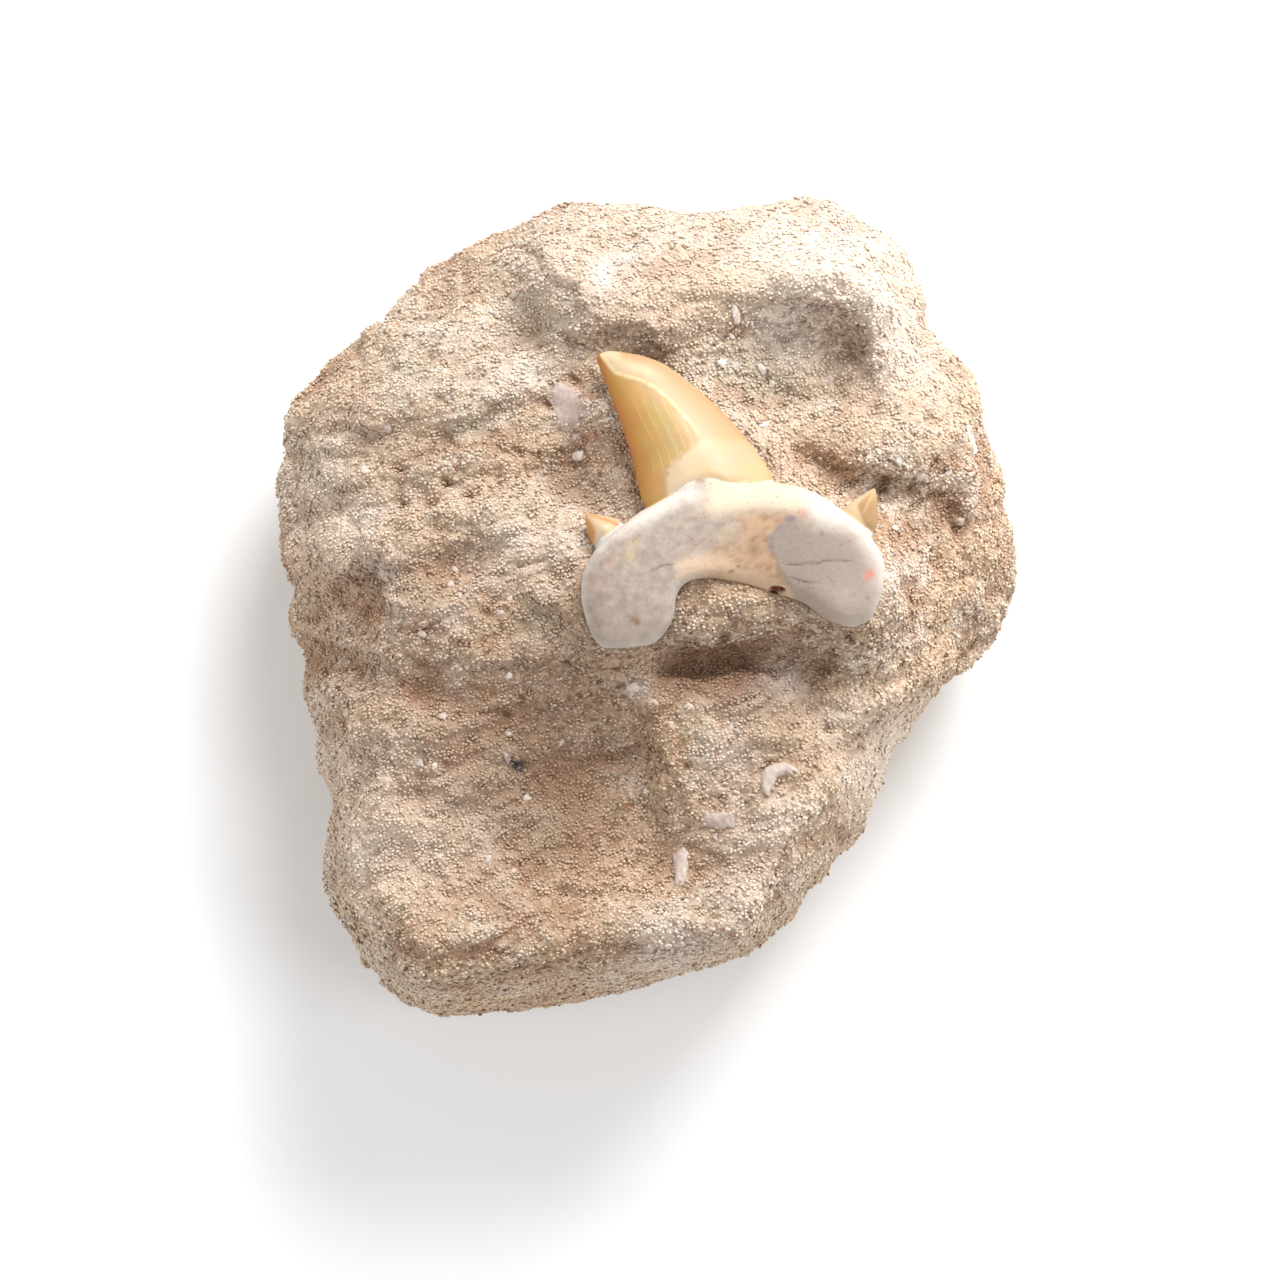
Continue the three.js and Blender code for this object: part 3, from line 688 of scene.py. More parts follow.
stoneLook = {
    "voxel": 0.31,
    "triangles": 194000,
    "rimReach": 1.1,
    "beddingTurn": math.radians(14),  # the grain of the stone runs up to the right
    "beddingStretch": 2.0,
    "clumps": [(4.4, 0.28), (1.8, 0.32), (0.85, 0.2)],  # width and height, coarse to fine
    "terrace": (3.6, 1.0, 4),  # small steps in the break: width, height and how many
    "swell": (7.0, 0.3),
    "flankGain": -0.3,
    "crook": 0.45,  # how crooked the ledges are
    # crisp ledges: height, how far they reach and the line, with the high side on its left
    "ledges": [
        (1.0, 2.4, [(-10.6, 35), (-9.6, 32), (-8.5, 30.6), (-7, 29.6), (-6.3, 28.2), (-5.2, 26.9)]),
        (1.3, 1.3, [
            (-6.2, 24.2), (-4.5, 25.6), (-2.5, 26.3), (-0.8, 26.7), (0.3, 26), (1.6, 25.2),
        ]),
        (1.7, 2.0, [
            (11.6, 27.6), (13.2, 28.7), (14.5, 29.4), (17.5, 29.4), (18.8, 28.5), (19.6, 27),
            (20, 24), (20.4, 22),
        ]),
        (0.5, 0.6, [(20.1, 26.6), (21.2, 25.9), (22.6, 25.4)]),
        (0.5, 0.7, [(20.9, 22.4), (22.5, 21.7), (24, 21.6)]),
        (0.8, 1.4, [(0.5, 29.4), (5, 29), (9.5, 28.6), (12, 28.4)]),
        (1.0, 1.4, [
            (12.3, 15.4), (14.7, 15.2), (15.9, 14), (19.4, 13.7), (21.4, 12.7), (23.8, 12),
            (25.6, 12.8), (28, 13.3), (30.6, 12),
        ]),
        (0.7, 1.2, [(9, 20.6), (12, 20.9), (15, 20.2), (18, 20.4), (20.5, 19.4)]),
        (0.8, 1.1, [(-15.5, 19.2), (-12.5, 20.0), (-10, 20.1), (-8.8, 20.8)]),
        (0.6, 0.8, [(-22, 20.6), (-20, 20.5), (-18.2, 20.1), (-16.6, 20.6)]),
        (1.0, 1.3, [
            (-21.5, 16), (-19, 17), (-17.4, 17.2), (-15.4, 17.9), (-14, 19), (-12.4, 19.4),
        ]),
        (0.9, 1.2, [(-31, 17.3), (-27.5, 17.8), (-25.5, 17.2), (-24.3, 15.8)]),
        (0.7, 1.0, [(-33, 15.4), (-30, 15.4), (-27.5, 15), (-25, 14.5), (-23, 14), (-21.7, 13.4)]),
        (0.9, 0.9, [
            (-30, 11.4), (-27.5, 11.7), (-26, 12.3), (-24, 12.3), (-21.8, 12), (-20.4, 12.2),
        ]),
        (0.7, 0.8, [(-19.4, 12.2), (-17.5, 12.3), (-16, 11.8), (-14.6, 11.6)]),
        (0.8, 0.9, [(-29.6, 9.8), (-27, 10), (-25, 10), (-23, 10.5), (-21, 10.7), (-18.6, 10.3)]),
        (1.5, 1.6, [
            (-26.2, 4), (-24, 5.6), (-22.5, 7.2), (-21, 8.5), (-19, 8.8), (-15.5, 8.8), (-12, 9.3),
            (-9, 9.2),
        ]),
        (2.0, 2.4, [
            (-30.2, 1.2), (-29, 3), (-27.5, 3.5), (-25.8, 3.3), (-24.4, 2.3), (-23.1, 1.2),
            (-22.9, -0.6),
        ]),
        (0.6, 1.0, [(-16, -0.2), (-12, 0.5), (-10.5, 1), (-8, 0.6)]),
        (0.9, 1.5, [(-15, -4.6), (-10, -4.2), (-7, -4.4), (-4, -5), (-2.2, -5.8)]),
        (0.7, 1.3, [
            (-2.3, -5.8), (-2, -7.3), (-0.6, -9), (0.8, -11), (1.4, -13), (3.2, -15.4),
            (3.4, -17.3), (2, -19.2), (1.2, -20.8),
        ]),
        (0.5, 1.3, [
            (-9.5, -14.6), (-14, -14.6), (-18, -14.8), (-21, -15.7), (-25, -15), (-28, -16.6),
        ]),
        (1.1, 1.2, [
            (18, -4.8), (14, -5.1), (11, -5.6), (8, -6.2), (5, -6.3), (2, -5.8), (-1.4, -5.6),
        ]),
        (0.6, 1.2, [(14, -7.4), (15.2, -8), (17, -8), (19, -8.8)]),
        (0.6, 0.9, [(14.4, -9.8), (16, -9.9), (18, -10.4)]),
        (0.7, 1.0, [
            (17.2, -11.6), (17.4, -15), (16.6, -18), (14.9, -20.6), (13, -22.8), (12, -25),
        ]),
        (0.5, 1.0, [(3, -8.9), (6, -8.6), (9, -9.3), (12, -9.2)]),
        (0.6, 1.0, [(-24, -29.4), (-21, -30), (-17, -30.2), (-12, -30.8)]),
        (0.6, 1.0, [(-10, -24.5), (-6, -25.3), (-1, -25), (3, -25.6)]),
        (0.5, 1.2, [(14.5, 31.8), (17, 31.2), (20, 31.6), (23, 32)]),
        (0.6, 1.3, [(-12, 35.2), (-8, 35.4), (-4.5, 35), (0, 35.8)]),
        (0.6, 1.0, [(0.8, 34), (2.4, 33.1), (4, 32.4)]),
    ],
    # how much rougher or calmer the break is here: x, y, radius, change
    "roughness": [
        (-24, 14, 9, -0.1), (-6, -12, 13, -0.2), (-6, 11, 5, -0.25),
        (8, 34, 12, -0.35), (-10, 3, 7, -0.1), (16, 15, 7, -0.3), (20, 26, 7, -0.2),
        (8, 1, 4, -0.4), (23, 3, 3.5, -0.3), (21, -16, 5, -0.6), (-10, 30, 9, -0.3),
        (8, -6, 3, 0.9), (-25, -3, 6, 0.4), (-13, 4, 6, 0.4), (5, -14, 6, 0.15),
        (15.5, 26, 3.6, 1.2),
    ],
    # where the break is rubbed smoother: x, y, radius, share of the grains gone
    "worn": [
        (10, -14, 7, 0.3), (21, -17, 5, 0.5), (18.5, -23, 4, 0.4), (23, -11, 4, 0.4),
        (13, -29, 4, 0.3),
    ],
    # holes where clumps fell out: x, y, radius, depth
    "holes": [
        (-3.8, 29, 0.4, 0.5), (-2.4, 30.6, 0.4, 0.4), (-12, 31, 0.6, 0.4), (-18.5, 16.5, 0.7, 0.6),
        (-11.7, 14.3, 0.9, 0.7), (-20.3, 9.9, 0.8, 0.5), (-23, 13.2, 0.8, 0.7),
        (-28.4, 11, 1.0, 0.6), (-18.2, 11.7, 0.6, 0.5), (-16.6, 10.9, 0.6, 0.6),
        (-22.8, 10, 0.6, 0.5), (-9.2, 19.2, 0.8, 0.7), (-5.2, 22, 0.7, 0.6), (-7.2, 21.4, 0.8, 0.6),
        (-10.2, 24.6, 0.5, 0.5), (-21, 24.9, 1.0, 0.4), (7, 17.9, 0.4, 0.4), (8.7, 19.4, 0.9, 0.4),
        (11, 21.5, 0.7, 0.5), (11, 24, 0.9, 0.5), (12.5, 24.6, 0.7, 0.4), (16.6, 25.4, 0.9, 0.4),
        (18.6, 23.4, 0.7, 0.4), (17.5, 20.8, 0.7, 0.4), (20.5, 18.9, 0.8, 0.6),
        (26, 17.7, 0.7, 0.6), (26.2, 13.6, 0.7, 0.7), (13.5, 15.2, 0.9, 0.4), (28.4, 9, 1.1, 0.6),
        (28.8, 7.8, 0.9, 0.7), (21.6, 11.6, 0.8, 0.8), (24, 10.5, 0.9, 0.6), (26.7, 10, 0.8, 0.6),
        (24.3, 2.1, 1.2, 0.8), (26.8, 4.7, 0.8, 0.6), (22, -1.5, 0.9, 0.5), (18, -2.3, 0.4, 0.5),
        (14.6, -3.6, 0.9, 0.4), (15.3, -8.6, 1.0, 0.6), (16.5, -10.4, 0.9, 0.6), (21, -6, 1.6, 0.6),
        (6.4, -9.8, 0.35, 0.4), (3.6, -14.1, 0.5, 0.5), (8.8, -18.9, 1.0, 0.4),
        (13.5, -19.8, 0.5, 0.4), (-12, -13.9, 0.8, 0.5), (-13, -9.2, 0.5, 0.4),
        (-19, -9.9, 0.6, 0.4), (-21, -6.8, 1.2, 0.7), (-21.3, -16.8, 1.2, 0.5), (-8, -26, 0.8, 0.4),
        (-7, -28.3, 0.8, 0.4), (-18.5, 5, 2.0, 0.4), (-14.5, 0.5, 0.9, 0.3),
        (17.9, -20.4, 0.9, 0.6), (13.9, 26.2, 0.6, 0.6), (15.9, 25.2, 0.5, 0.6),
        (15.0, 27.6, 0.6, 0.5), (17.4, 26.6, 0.5, 0.6),
    ],
    "marks": {
        # paler patches, partly the stone's own cream and partly painted light: the top, the right
        # flank, the far left and the knob's face are painted lighter
        "pale": [
            (0, 35, 13, 0.22), (22, 31, 10, 0.4), (-20, 27, 9, 0.15), (24, 20, 7, 0.2),
            (-28, 14, 8, 0.2), (-3, 29, 5, 0.15), (-26, 2, 4, 0.2), (22, -13, 6, 0.35),
            (-10, 6, 5, 0.3), (9, 16.5, 3.5, 0.25), (13, 12.5, 2.5, 0.2),
            (14, 33, 7, 0.3), (13.2, 26.2, 2.4, 0.8), (-28.5, -14, 4, 0.35), (-22, -21.5, 6, 0.35),
            (-29, 7.5, 4, 0.25), (-14.7, 7.5, 4, 0.2), (9, -21.5, 5, 0.25), (26, -12, 4, 0.35),
        ],
        # brown patches, partly clay and partly painted shade: in the trench under the root, the
        # basin below it, the hollow above the crown's tip and the knob's face
        "clay": [
            (-9, -11, 11, 0.5), (-26, -4, 7, 0.25), (3.5, -5.4, 2.8, 0.85), (8, -5.4, 3.0, 1.0),
            (12.5, -5, 2.8, 0.75), (-8, -16, 6, 0.2), (-17, -14, 7, 0.35), (9, -12.5, 5, 0.2),
            (-26, 16, 5, 0.2), (-7, 15, 3, 0.15),
            (16.4, -4, 2.0, 0.35), (-13, -3, 6, 0.2), (-20, 3, 4, 0.3),
            (17.4, 26.6, 1.8, 0.15), (17, 14.5, 2.5, 0.25), (-9, 27, 3, 0.2), (-10, -23, 7, 0.15),
            (28.5, 8.6, 1.6, 0.3), (-2.5, 25.2, 2, 0.3),
        ],
        "whitePatch": [
            (-1.1, -6.9, 1.3, 0.5), (-24.4, 3.6, 1.3, 0.5), (12.3, -6.3, 2.2, 0.45),
            (16.7, -9.2, 1.6, 0.3), (-17.7, -0.6, 1.2, 0.4), (13.4, 31.8, 0.5, 0.6),
            (-4.2, 30.2, 1.2, 0.5), (-2.5, 32.5, 1.4, 0.4), (1.7, -30.4, 2.6, 0.5),
            (7.7, 22.9, 0.5, 0.7), (11.3, 25.2, 1.3, 0.7), (9.5, 26.6, 0.7, 0.5),
            (8, -13, 3.0, 0.25), (22.5, 3, 1.8, 0.35), (-26, 8.5, 2.0, 0.3), (-13, 22, 3.0, 0.25),
            (-27, -22, 3, 0.3), (-18, -6, 1.4, 0.3), (-20.2, 26.3, 1.0, 0.6),
            (-4.3, 31.7, 0.9, 0.8), (-8.3, 26.2, 0.8, 0.5), (-11, 22.3, 1.0, 0.5),
        ],
        "rust": [
            (-5.3, 16.3, 0.7, 0.5), (-5.3, 19.6, 0.5, 0.5), (6.3, -9.7, 0.28, 0.7),
            (-1.6, -17.6, 0.3, 0.8), (3.4, -13.8, 0.22, 0.8), (-2.8, -14.5, 0.35, 0.5),
            (-20.6, -1.0, 1.0, 0.25), (-15.1, -7.3, 0.8, 0.3), (2.6, -22.9, 0.4, 0.4),
            (24.0, 18.9, 0.6, 0.3), (-27.6, 1.4, 2.4, 0.3), (-25.2, -0.6, 1.6, 0.3),
            (21.6, 8.7, 0.5, 0.3), (14.5, 14.2, 1.2, 0.25), (15.6, 26.4, 3.0, 0.13),
            (2.5, -12, 1.0, 0.25), (18, 13, 1.5, 0.2),
        ],
        "greyGreen": [
            (-9.9, -0.8, 1.5, 0.5), (-9.2, -20.2, 1.6, 0.3), (7.5, 23.4, 2.2, 0.4),
            (11.0, 21.5, 1.8, 0.4), (-22.4, 22.5, 2.2, 0.35), (-20.5, 2.2, 1.2, 0.3),
            (-11.7, 10.3, 1.5, 0.3), (16.5, 22.0, 1.2, 0.3), (4.5, -11, 1.5, 0.35),
            (-16, 17, 2, 0.3), (-10, 27, 2.5, 0.3), (-13, -13.5, 2, 0.3),
        ],
        # dark spots, and painted shade across the trench under the root
        "darkSpot": [
            (8, -5.6, 3.4, 0.12), (3, -5.8, 2.4, 0.1),
            (-12.1, -13.9, 0.4, 0.8), (-13.0, -13.4, 0.25, 0.6), (18.0, -2.3, 0.28, 0.8),
            (-2.5, 25.2, 1.6, 0.2), (7.6, -0.75, 0.5, 0.85), (6.7, -2.1, 0.55, 0.9),
            (7.1, -1.5, 0.4, 0.4),
        ],
    },
}

sandyStone = copyNode("matrix_stone", "sandyStone")
addModifier(sandyStone, "REMESH", mode="VOXEL", voxel_size=stoneLook["voxel"] * mm)
applyModifiers(sandyStone)
stoneShape = openShape(sandyStone)
relax(stoneShape, 2)


def lineReaches(line, x, y, margin):
    xs, ys = zip(*line)
    return min(xs) - margin < x < max(xs) + margin and min(ys) - margin < y < max(ys) + margin


def ledgeRise(x, y):  # the crisp ledges stand up on one side and drop on the other
    rise = 0.0
    for height, reach, line in stoneLook["ledges"]:
        if not lineReaches(line, x, y, 3 * reach):
            continue
        away, side, fromEnd = besideLine(line, x, y)
        crisp = smoothStep(0.0, 0.5, away) * math.exp(-away / reach)
        rise += 0.5 * height * side * crisp * smoothStep(0.0, 1.6, fromEnd)
    return rise


def clumpRise(place):  # rounded clumps of grains with sharp gaps between them
    turn, stretch = stoneLook["beddingTurn"], stoneLook["beddingStretch"]
    along = place.x * math.cos(turn) + place.y * math.sin(turn)
    across = place.y * math.cos(turn) - place.x * math.sin(turn)
    bedded = Vector((along / stretch, across, place.z)) + noise.noise_vector(place / 4) * 0.6
    rise = 0.0
    for width, height in stoneLook["clumps"]:
        rise += height * (2.2 * abs(noise.noise(bedded / width + Vector((width, 3, 1)))) - 0.55)
    width, height, count = stoneLook["terrace"]
    level = count * (1 + noise.noise(bedded / width + Vector((8, 2, 6))))
    level = math.floor(level) + smoothStep(0.6, 0.95, level - math.floor(level))
    return rise + height * (level / count - 1)


def besideBit(bit, x, y):  # a place seen from a shell, in its half lengths and half widths
    x, y, turn, bend = x - bit[0], y - bit[1], math.radians(bit[4]), bit[7]
    if bend > 0:
        angle = (math.atan2(y, x) - turn + math.pi) % math.tau - math.pi
        return angle * bend / bit[2], (math.hypot(x, y) - bend) / bit[3]
    along = x * math.cos(turn) + y * math.sin(turn)
    across = y * math.cos(turn) - x * math.sin(turn)
    return along / bit[2], across / bit[3]


stoneFields = {name: [] for name in ("pitted", "cover", "stained", *stoneLook["marks"])}
for vert in stoneShape.verts:
    place = vert.co / mm
    rim, rimReach = 0.0, stoneLook["rimReach"]
    contact, contactNormal, _, distance = toothTree.find_nearest(vert.co, rimReach * mm)
    if contact is not None:
        rim = smoothStep(rimReach, 0.3, distance / mm)
    under = smoothStep(1.2, 0.2, place.z) * smoothStep(-0.5, -0.9, vert.normal.z)
    flank = smoothStep(0.6, 0.2, vert.normal.z)
    front = smoothStep(-0.1, 0.3, vert.normal.z)
    free = (1 - rim) * (1 - under)
    bedded = 0.0
    for bit in shellBits:
        if math.hypot(place.x - bit[0], place.y - bit[1]) < bit[2] + bit[7] + 0.3:
            u, v = besideBit(bit, place.x, place.y)
            bedded = max(bedded, smoothStep(1.15, 0.8, math.hypot(u, v)) * front)
    crook = noise.noise_vector(place / 2.2) * stoneLook["crook"]
    x, y = place.x + crook.x, place.y + crook.y
    fields = {
        name: min(1.0, markSum(marks, x, y)) * front for name, marks in stoneLook["marks"].items()
    }
    calm = max(0.3, 1 + markSum(stoneLook["roughness"], x, y))
    calm *= 1 + stoneLook["flankGain"] * flank
    size, height = stoneLook["swell"]
    swell = height * noise.noise(place / size) * calm
    fine = clumpRise(place) * calm - markSum(stoneLook["holes"], x, y) * front
    fine *= 1 - 0.6 * bedded
    rise = swell + fine + ledgeRise(x, y) * front
    vert.co += vert.normal * rise * free * mm
    if contact is not None:
        vert.co = vert.co.lerp(contact - contactNormal * 0.05 * mm, rim)
    vert.co.z = max(vert.co.z, 0.0)
    # painted shade: the break and its grains are painted darker and browner where it lies lower
    # than its clumps
    fields["pitted"] = smoothStep(-0.05, -0.75, fine) * free
    # painted shade: faces of the break that turn downwards, away from the light, get some of their
    # grains painted dark brown
    shaded = smoothStep(-0.15, -0.5, vert.normal.y) * smoothStep(0.25, 0.5, vert.normal.z)
    fields["stained"] = shaded * free
    bare = (1 - bedded) * smoothStep(0.98, 0.7, rim) * smoothStep(0.25, 0.6, place.z)
    worn = markSum(stoneLook["worn"], x, y)
    fields["cover"] = bare * (0.4 + 0.6 * front) * max(0.3, 1 - worn)
    for name, value in fields.items():
        stoneFields[name].append(value)
closeShape(sandyStone, stoneShape)
storeFields(sandyStone, stoneFields)
triangles = 2 * len(sandyStone.data.polygons)
addModifier(sandyStone, "DECIMATE", ratio=min(1.0, stoneLook["triangles"] / triangles))
applyModifiers(sandyStone)
shadeSmooth(sandyStone)
triangles = sum(len(face.vertices) - 2 for face in sandyStone.data.polygons)
print("stone shaped:", triangles, "triangles")

# Friable calcareous sandstone, broken by hand and brushed clean: dull cream grains in a
# brown, shaded cement, with patches of pink, ochre and grey-green
sandstoneLook = {
    "grains": [(0.0, "#A0846C"), (0.4, "#BCA795"), (0.75, "#CBBBAA"), (1.0, "#D6C9BA")],
    "grainSize": 0.26,
    "grainDepth": 0.15,
    "grainStrength": 0.9,
    "tints": [
        (0.3, "#F0DFD0"), (0.43, "#F5E8D5"), (0.55, "#FFFFFF"), (0.68, "#EEE8DC"),
        (0.78, "#F2E5DC"),
    ],
    "tintSize": 10.5,  # patches of colour in the rock
    "tintStrength": 0.75,
    "layers": {
        "pitted": "#9F7F66", "clay": "#90705A", "pale": "#DDD0C2", "rust": "#A8683F",
        "greyGreen": "#A5A08A", "whitePatch": "#DBD1C8", "darkSpot": "#553A28",
    },
    "roughness": 0.95,
}
grainLook = {
    "spacing": 0.235,
    "density": 12.0,  # most grains to a square millimetre
    "radius": (0.12, 0.2),
    "stretch": 1.35,  # grains lie along the bedding
    "flatness": 0.6,
    "clumpSize": 0.8,  # between clumps of grains that stand up
    "lift": (-0.16, 0.09),
    "pieces": 6,
    "tones": [
        (0.0, "#7A5438"), (0.07, "#A5866B"), (0.14, "#C9B6A3"), (0.6, "#D6C6B5"), (1.0, "#E0D3C5"),
    ],
    "shadedGrainShare": 0.5,
    "shadeStrength": 0.5,
    "shadeColour": "#6E4A32",
    "layers": {
        "sunkShade": "#A28067", "pitted": "#BDA089", "clay": "#A58770", "pale": "#F0E7DC",
        "rust": "#B07348", "greyGreen": "#B9B39D", "whitePatch": "#E6DDD4", "darkSpot": "#634733",
    },
    "roughness": 0.9,
}


def tintPatches(tree, base):  # broad patches of colour, the same on the stone and its grains
    place = addNode(tree, "ShaderNodeTexCoord").outputs["Object"]
    patches = addNode(
        tree, "ShaderNodeTexNoise",
        {"Scale": 1 / (sandstoneLook["tintSize"] * mm), "Detail": 3.0, "Roughness": 0.65},
        {"Vector": place},
    )
    tint = setRamp(
        addNode(tree, "ShaderNodeValToRGB", links={"Fac": patches.outputs["Fac"]}),
        sandstoneLook["tints"],
    )
    mix = addNode(
        tree, "ShaderNodeMix",
        {"data_type": "RGBA", "blend_type": "MULTIPLY", 0: sandstoneLook["tintStrength"]},
        {6: base, 7: tint},
    )
    return mix.outputs[2]


sandstone, tree = newMaterial("friable sandstone, broken and brushed")
place = addNode(tree, "ShaderNodeTexCoord").outputs["Object"]
cells = addNode(
    tree, "ShaderNodeTexVoronoi", {"Scale": 1 / (sandstoneLook["grainSize"] * mm)},
    {"Vector": place},
)
cellTone = addNode(tree, "ShaderNodeSeparateColor", links={"Color": cells.outputs["Color"]})
body = setRamp(
    addNode(tree, "ShaderNodeValToRGB", links={"Fac": cellTone.outputs[0]}), sandstoneLook["grains"]
)
bump = addNode(
    tree, "ShaderNodeBump",
    {
        "invert": True, "Strength": sandstoneLook["grainStrength"],
        "Distance": sandstoneLook["grainDepth"] * mm,
    },
    {"Height": cells.outputs["Distance"]},
)
sandstoneShader = addNode(
    tree, "ShaderNodeBsdfPrincipled",
    {"Roughness": sandstoneLook["roughness"], "Specular IOR Level": 0.2},
    {
        "Base Color": layerColours(tree, tintPatches(tree, body), sandstoneLook["layers"]),
        "Normal": bump.outputs[0],
    },
)
addNode(tree, "ShaderNodeOutputMaterial", links={"Surface": sandstoneShader.outputs[0]})
sandyStone.data.materials.clear()
sandyStone.data.materials.append(sandstone)
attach(sandyStone, "root")
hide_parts("matrix_stone")
print("stone finished")

stoneTree = BVHTree.FromPolygons(
    [vert.co for vert in sandyStone.data.vertices],
    [polygon.vertices for polygon in sandyStone.data.polygons],
)


def surfaceHeight(x, y):  # how high the stone stands here, taken over a small patch
    heights = []
    for dx, dy in ((0, 0), (0.5, 0), (-0.5, 0), (0, 0.5), (0, -0.5)):
        hit = stoneTree.ray_cast(Vector((x + dx, y + dy, above)) * mm, down)[0]
        if hit is not None:
            heights.append(hit.z / mm)
    return sum(heights) / len(heights) if heights else None


def bedBit(shape, tones, bit, detail):  # lays one worn piece of shell into the surface
    x, y, length, width, turn, height, tone, bend = bit
    ball = bmesh.ops.create_icosphere(shape, subdivisions=detail, radius=1)
    for vert in ball["verts"]:
        along, across, up = vert.co
        uneven = 1 + 0.4 * noise.noise(Vector((along + x, across + y, 0)) * 2.2)
        taper = 1 + 0.5 * along**2 + 0.35 * along
        along, across = along * length * uneven, across * width * uneven * taper
        angle = math.radians(turn)
        if bend > 0:
            angle += along / bend
            spot = (x + (bend + across) * math.cos(angle), y + (bend + across) * math.sin(angle))
        else:
            spot = (
                x + along * math.cos(angle) - across * math.sin(angle),
                y + along * math.sin(angle) + across * math.cos(angle),
            )
        surface = surfaceHeight(*spot)
        if surface is None:
            surface = surfaceHeight(x, y)
        stands = height * up**0.6 if up > 0 else 0.4 * up
        stands += 0.09 * noise.noise(Vector((*spot, 5)) / 0.5) * min(1, 2 * width)
        vert.co = Vector((*spot, surface + stands)) * mm
        vert[tones] = min(1.0, tone + 0.12 * noise.noise(vert.co / mm / 0.35))


shellLook = {
    "crumbs": 80,  # tries; one that would miss the open front is left out
    "crumbSize": (0.16, 0.34),
    "tones": [
        (0.0, "#2B2A33"), (0.12, "#5B5D66"), (0.35, "#AD9B8E"), (0.5, "#BDABA1"),
        (0.65, "#C5B6AA"), (0.85, "#D3C6BB"), (1.0, "#E6DFD7"),
    ],
    "chalkSize": 0.42,
    "chalkStrength": 0.6,
    "chalkDepth": 0.1,
    "roughness": 0.7,
}
shape = bmesh.new()
tones = shape.verts.layers.float.new("tone")
for bit in shellBits:
    bedBit(shape, tones, bit, 4)
random.seed(19)
for _ in range(shellLook["crumbs"]):  # smaller crumbs of shell, anywhere on the front
    x, y = random.uniform(-30, 31), random.uniform(-34, 36)
    hit, normal, _, _ = stoneTree.ray_cast(Vector((x, y, above)) * mm, down)
    onTooth = toothTree.ray_cast(Vector((x, y, above)) * mm, down)[0]
    size = random.uniform(*shellLook["crumbSize"])
    length, turn = size * random.uniform(1, 1.9), random.uniform(0, 180)
    tone = random.uniform(0.5, 0.8)
    if hit is None or onTooth is not None or normal.z < 0.6:
        continue
    bedBit(shape, tones, (x, y, length, size, turn, 0.7 * size, tone, 0), 2)
bmesh.ops.recalc_face_normals(shape, faces=shape.faces)
shellCrumbs = newPiece("shellCrumbs", shape)
shadeSmooth(shellCrumbs)
# Broken sea shell, worn by sand and half buried: chalky and off-white, a few bits blue-black
shell, tree = newMaterial("broken shell, worn and half buried")
tone = addNode(tree, "ShaderNodeAttribute", {"attribute_name": "tone"})
body = setRamp(
    addNode(tree, "ShaderNodeValToRGB", links={"Fac": tone.outputs["Fac"]}), shellLook["tones"]
)
place = addNode(tree, "ShaderNodeTexCoord").outputs["Object"]
chalk = addNode(
    tree, "ShaderNodeTexNoise",
    {"Scale": 1 / (shellLook["chalkSize"] * mm), "Detail": 4.0}, {"Vector": place},
)
chalky = addNode(
    tree, "ShaderNodeMix",
    {"data_type": "RGBA", "blend_type": "SOFT_LIGHT", 0: shellLook["chalkStrength"]},
    {6: body, 7: chalk.outputs["Fac"]},
)
bump = addNode(
    tree, "ShaderNodeBump", {"Strength": 0.5, "Distance": shellLook["chalkDepth"] * mm},
    {"Height": chalk.outputs["Fac"]},
)
shellShader = addNode(
    tree, "ShaderNodeBsdfPrincipled",
    {"Roughness": shellLook["roughness"], "Specular IOR Level": 0.3},
    {"Base Color": chalky.outputs[2], "Normal": bump.outputs[0]},
)
addNode(tree, "ShaderNodeOutputMaterial", links={"Surface": shellShader.outputs[0]})
shellCrumbs.data.materials.append(shell)
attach(shellCrumbs, "root")
print("shell crumbs", len(shellCrumbs.data.polygons), "faces")

# Sand grains, rounded in water: shell and quartz sand, dull cream with a few dark ones
sand, tree = newMaterial("rounded shell and quartz sand")
tone = addNode(tree, "ShaderNodeAttribute", {"attribute_name": "tone"})
body = setRamp(
    addNode(tree, "ShaderNodeValToRGB", links={"Fac": tone.outputs["Fac"]}), grainLook["tones"]
)
# on faces of the break that turn downwards, away from the light, some grains are painted dark brown
# as painted shade
stained = addNode(tree, "ShaderNodeAttribute", {"attribute_name": "stained"})
darkGrains = addNode(
    tree, "ShaderNodeMapRange",
    {
        "From Min": grainLook["shadedGrainShare"] + 0.06, "From Max": grainLook["shadedGrainShare"] - 0.06,
        "To Max": grainLook["shadeStrength"],
    },
    {"Value": tone.outputs["Fac"]},
)
grainShade = addNode(
    tree, "ShaderNodeMath", {"operation": "MULTIPLY"},
    {0: darkGrains.outputs[0], 1: stained.outputs["Fac"]},
)
grainColour = addNode(
    tree, "ShaderNodeMix", {"data_type": "RGBA", 7: toLinear(grainLook["shadeColour"])},
    {
        0: grainShade.outputs[0],
        6: layerColours(tree, tintPatches(tree, body), grainLook["layers"]),
    },
)
sandShader = addNode(
    tree, "ShaderNodeBsdfPrincipled",
    {"Roughness": grainLook["roughness"], "Specular IOR Level": 0.15},
    {"Base Color": grainColour.outputs[2]},
)
addNode(tree, "ShaderNodeOutputMaterial", links={"Surface": sandShader.outputs[0]})


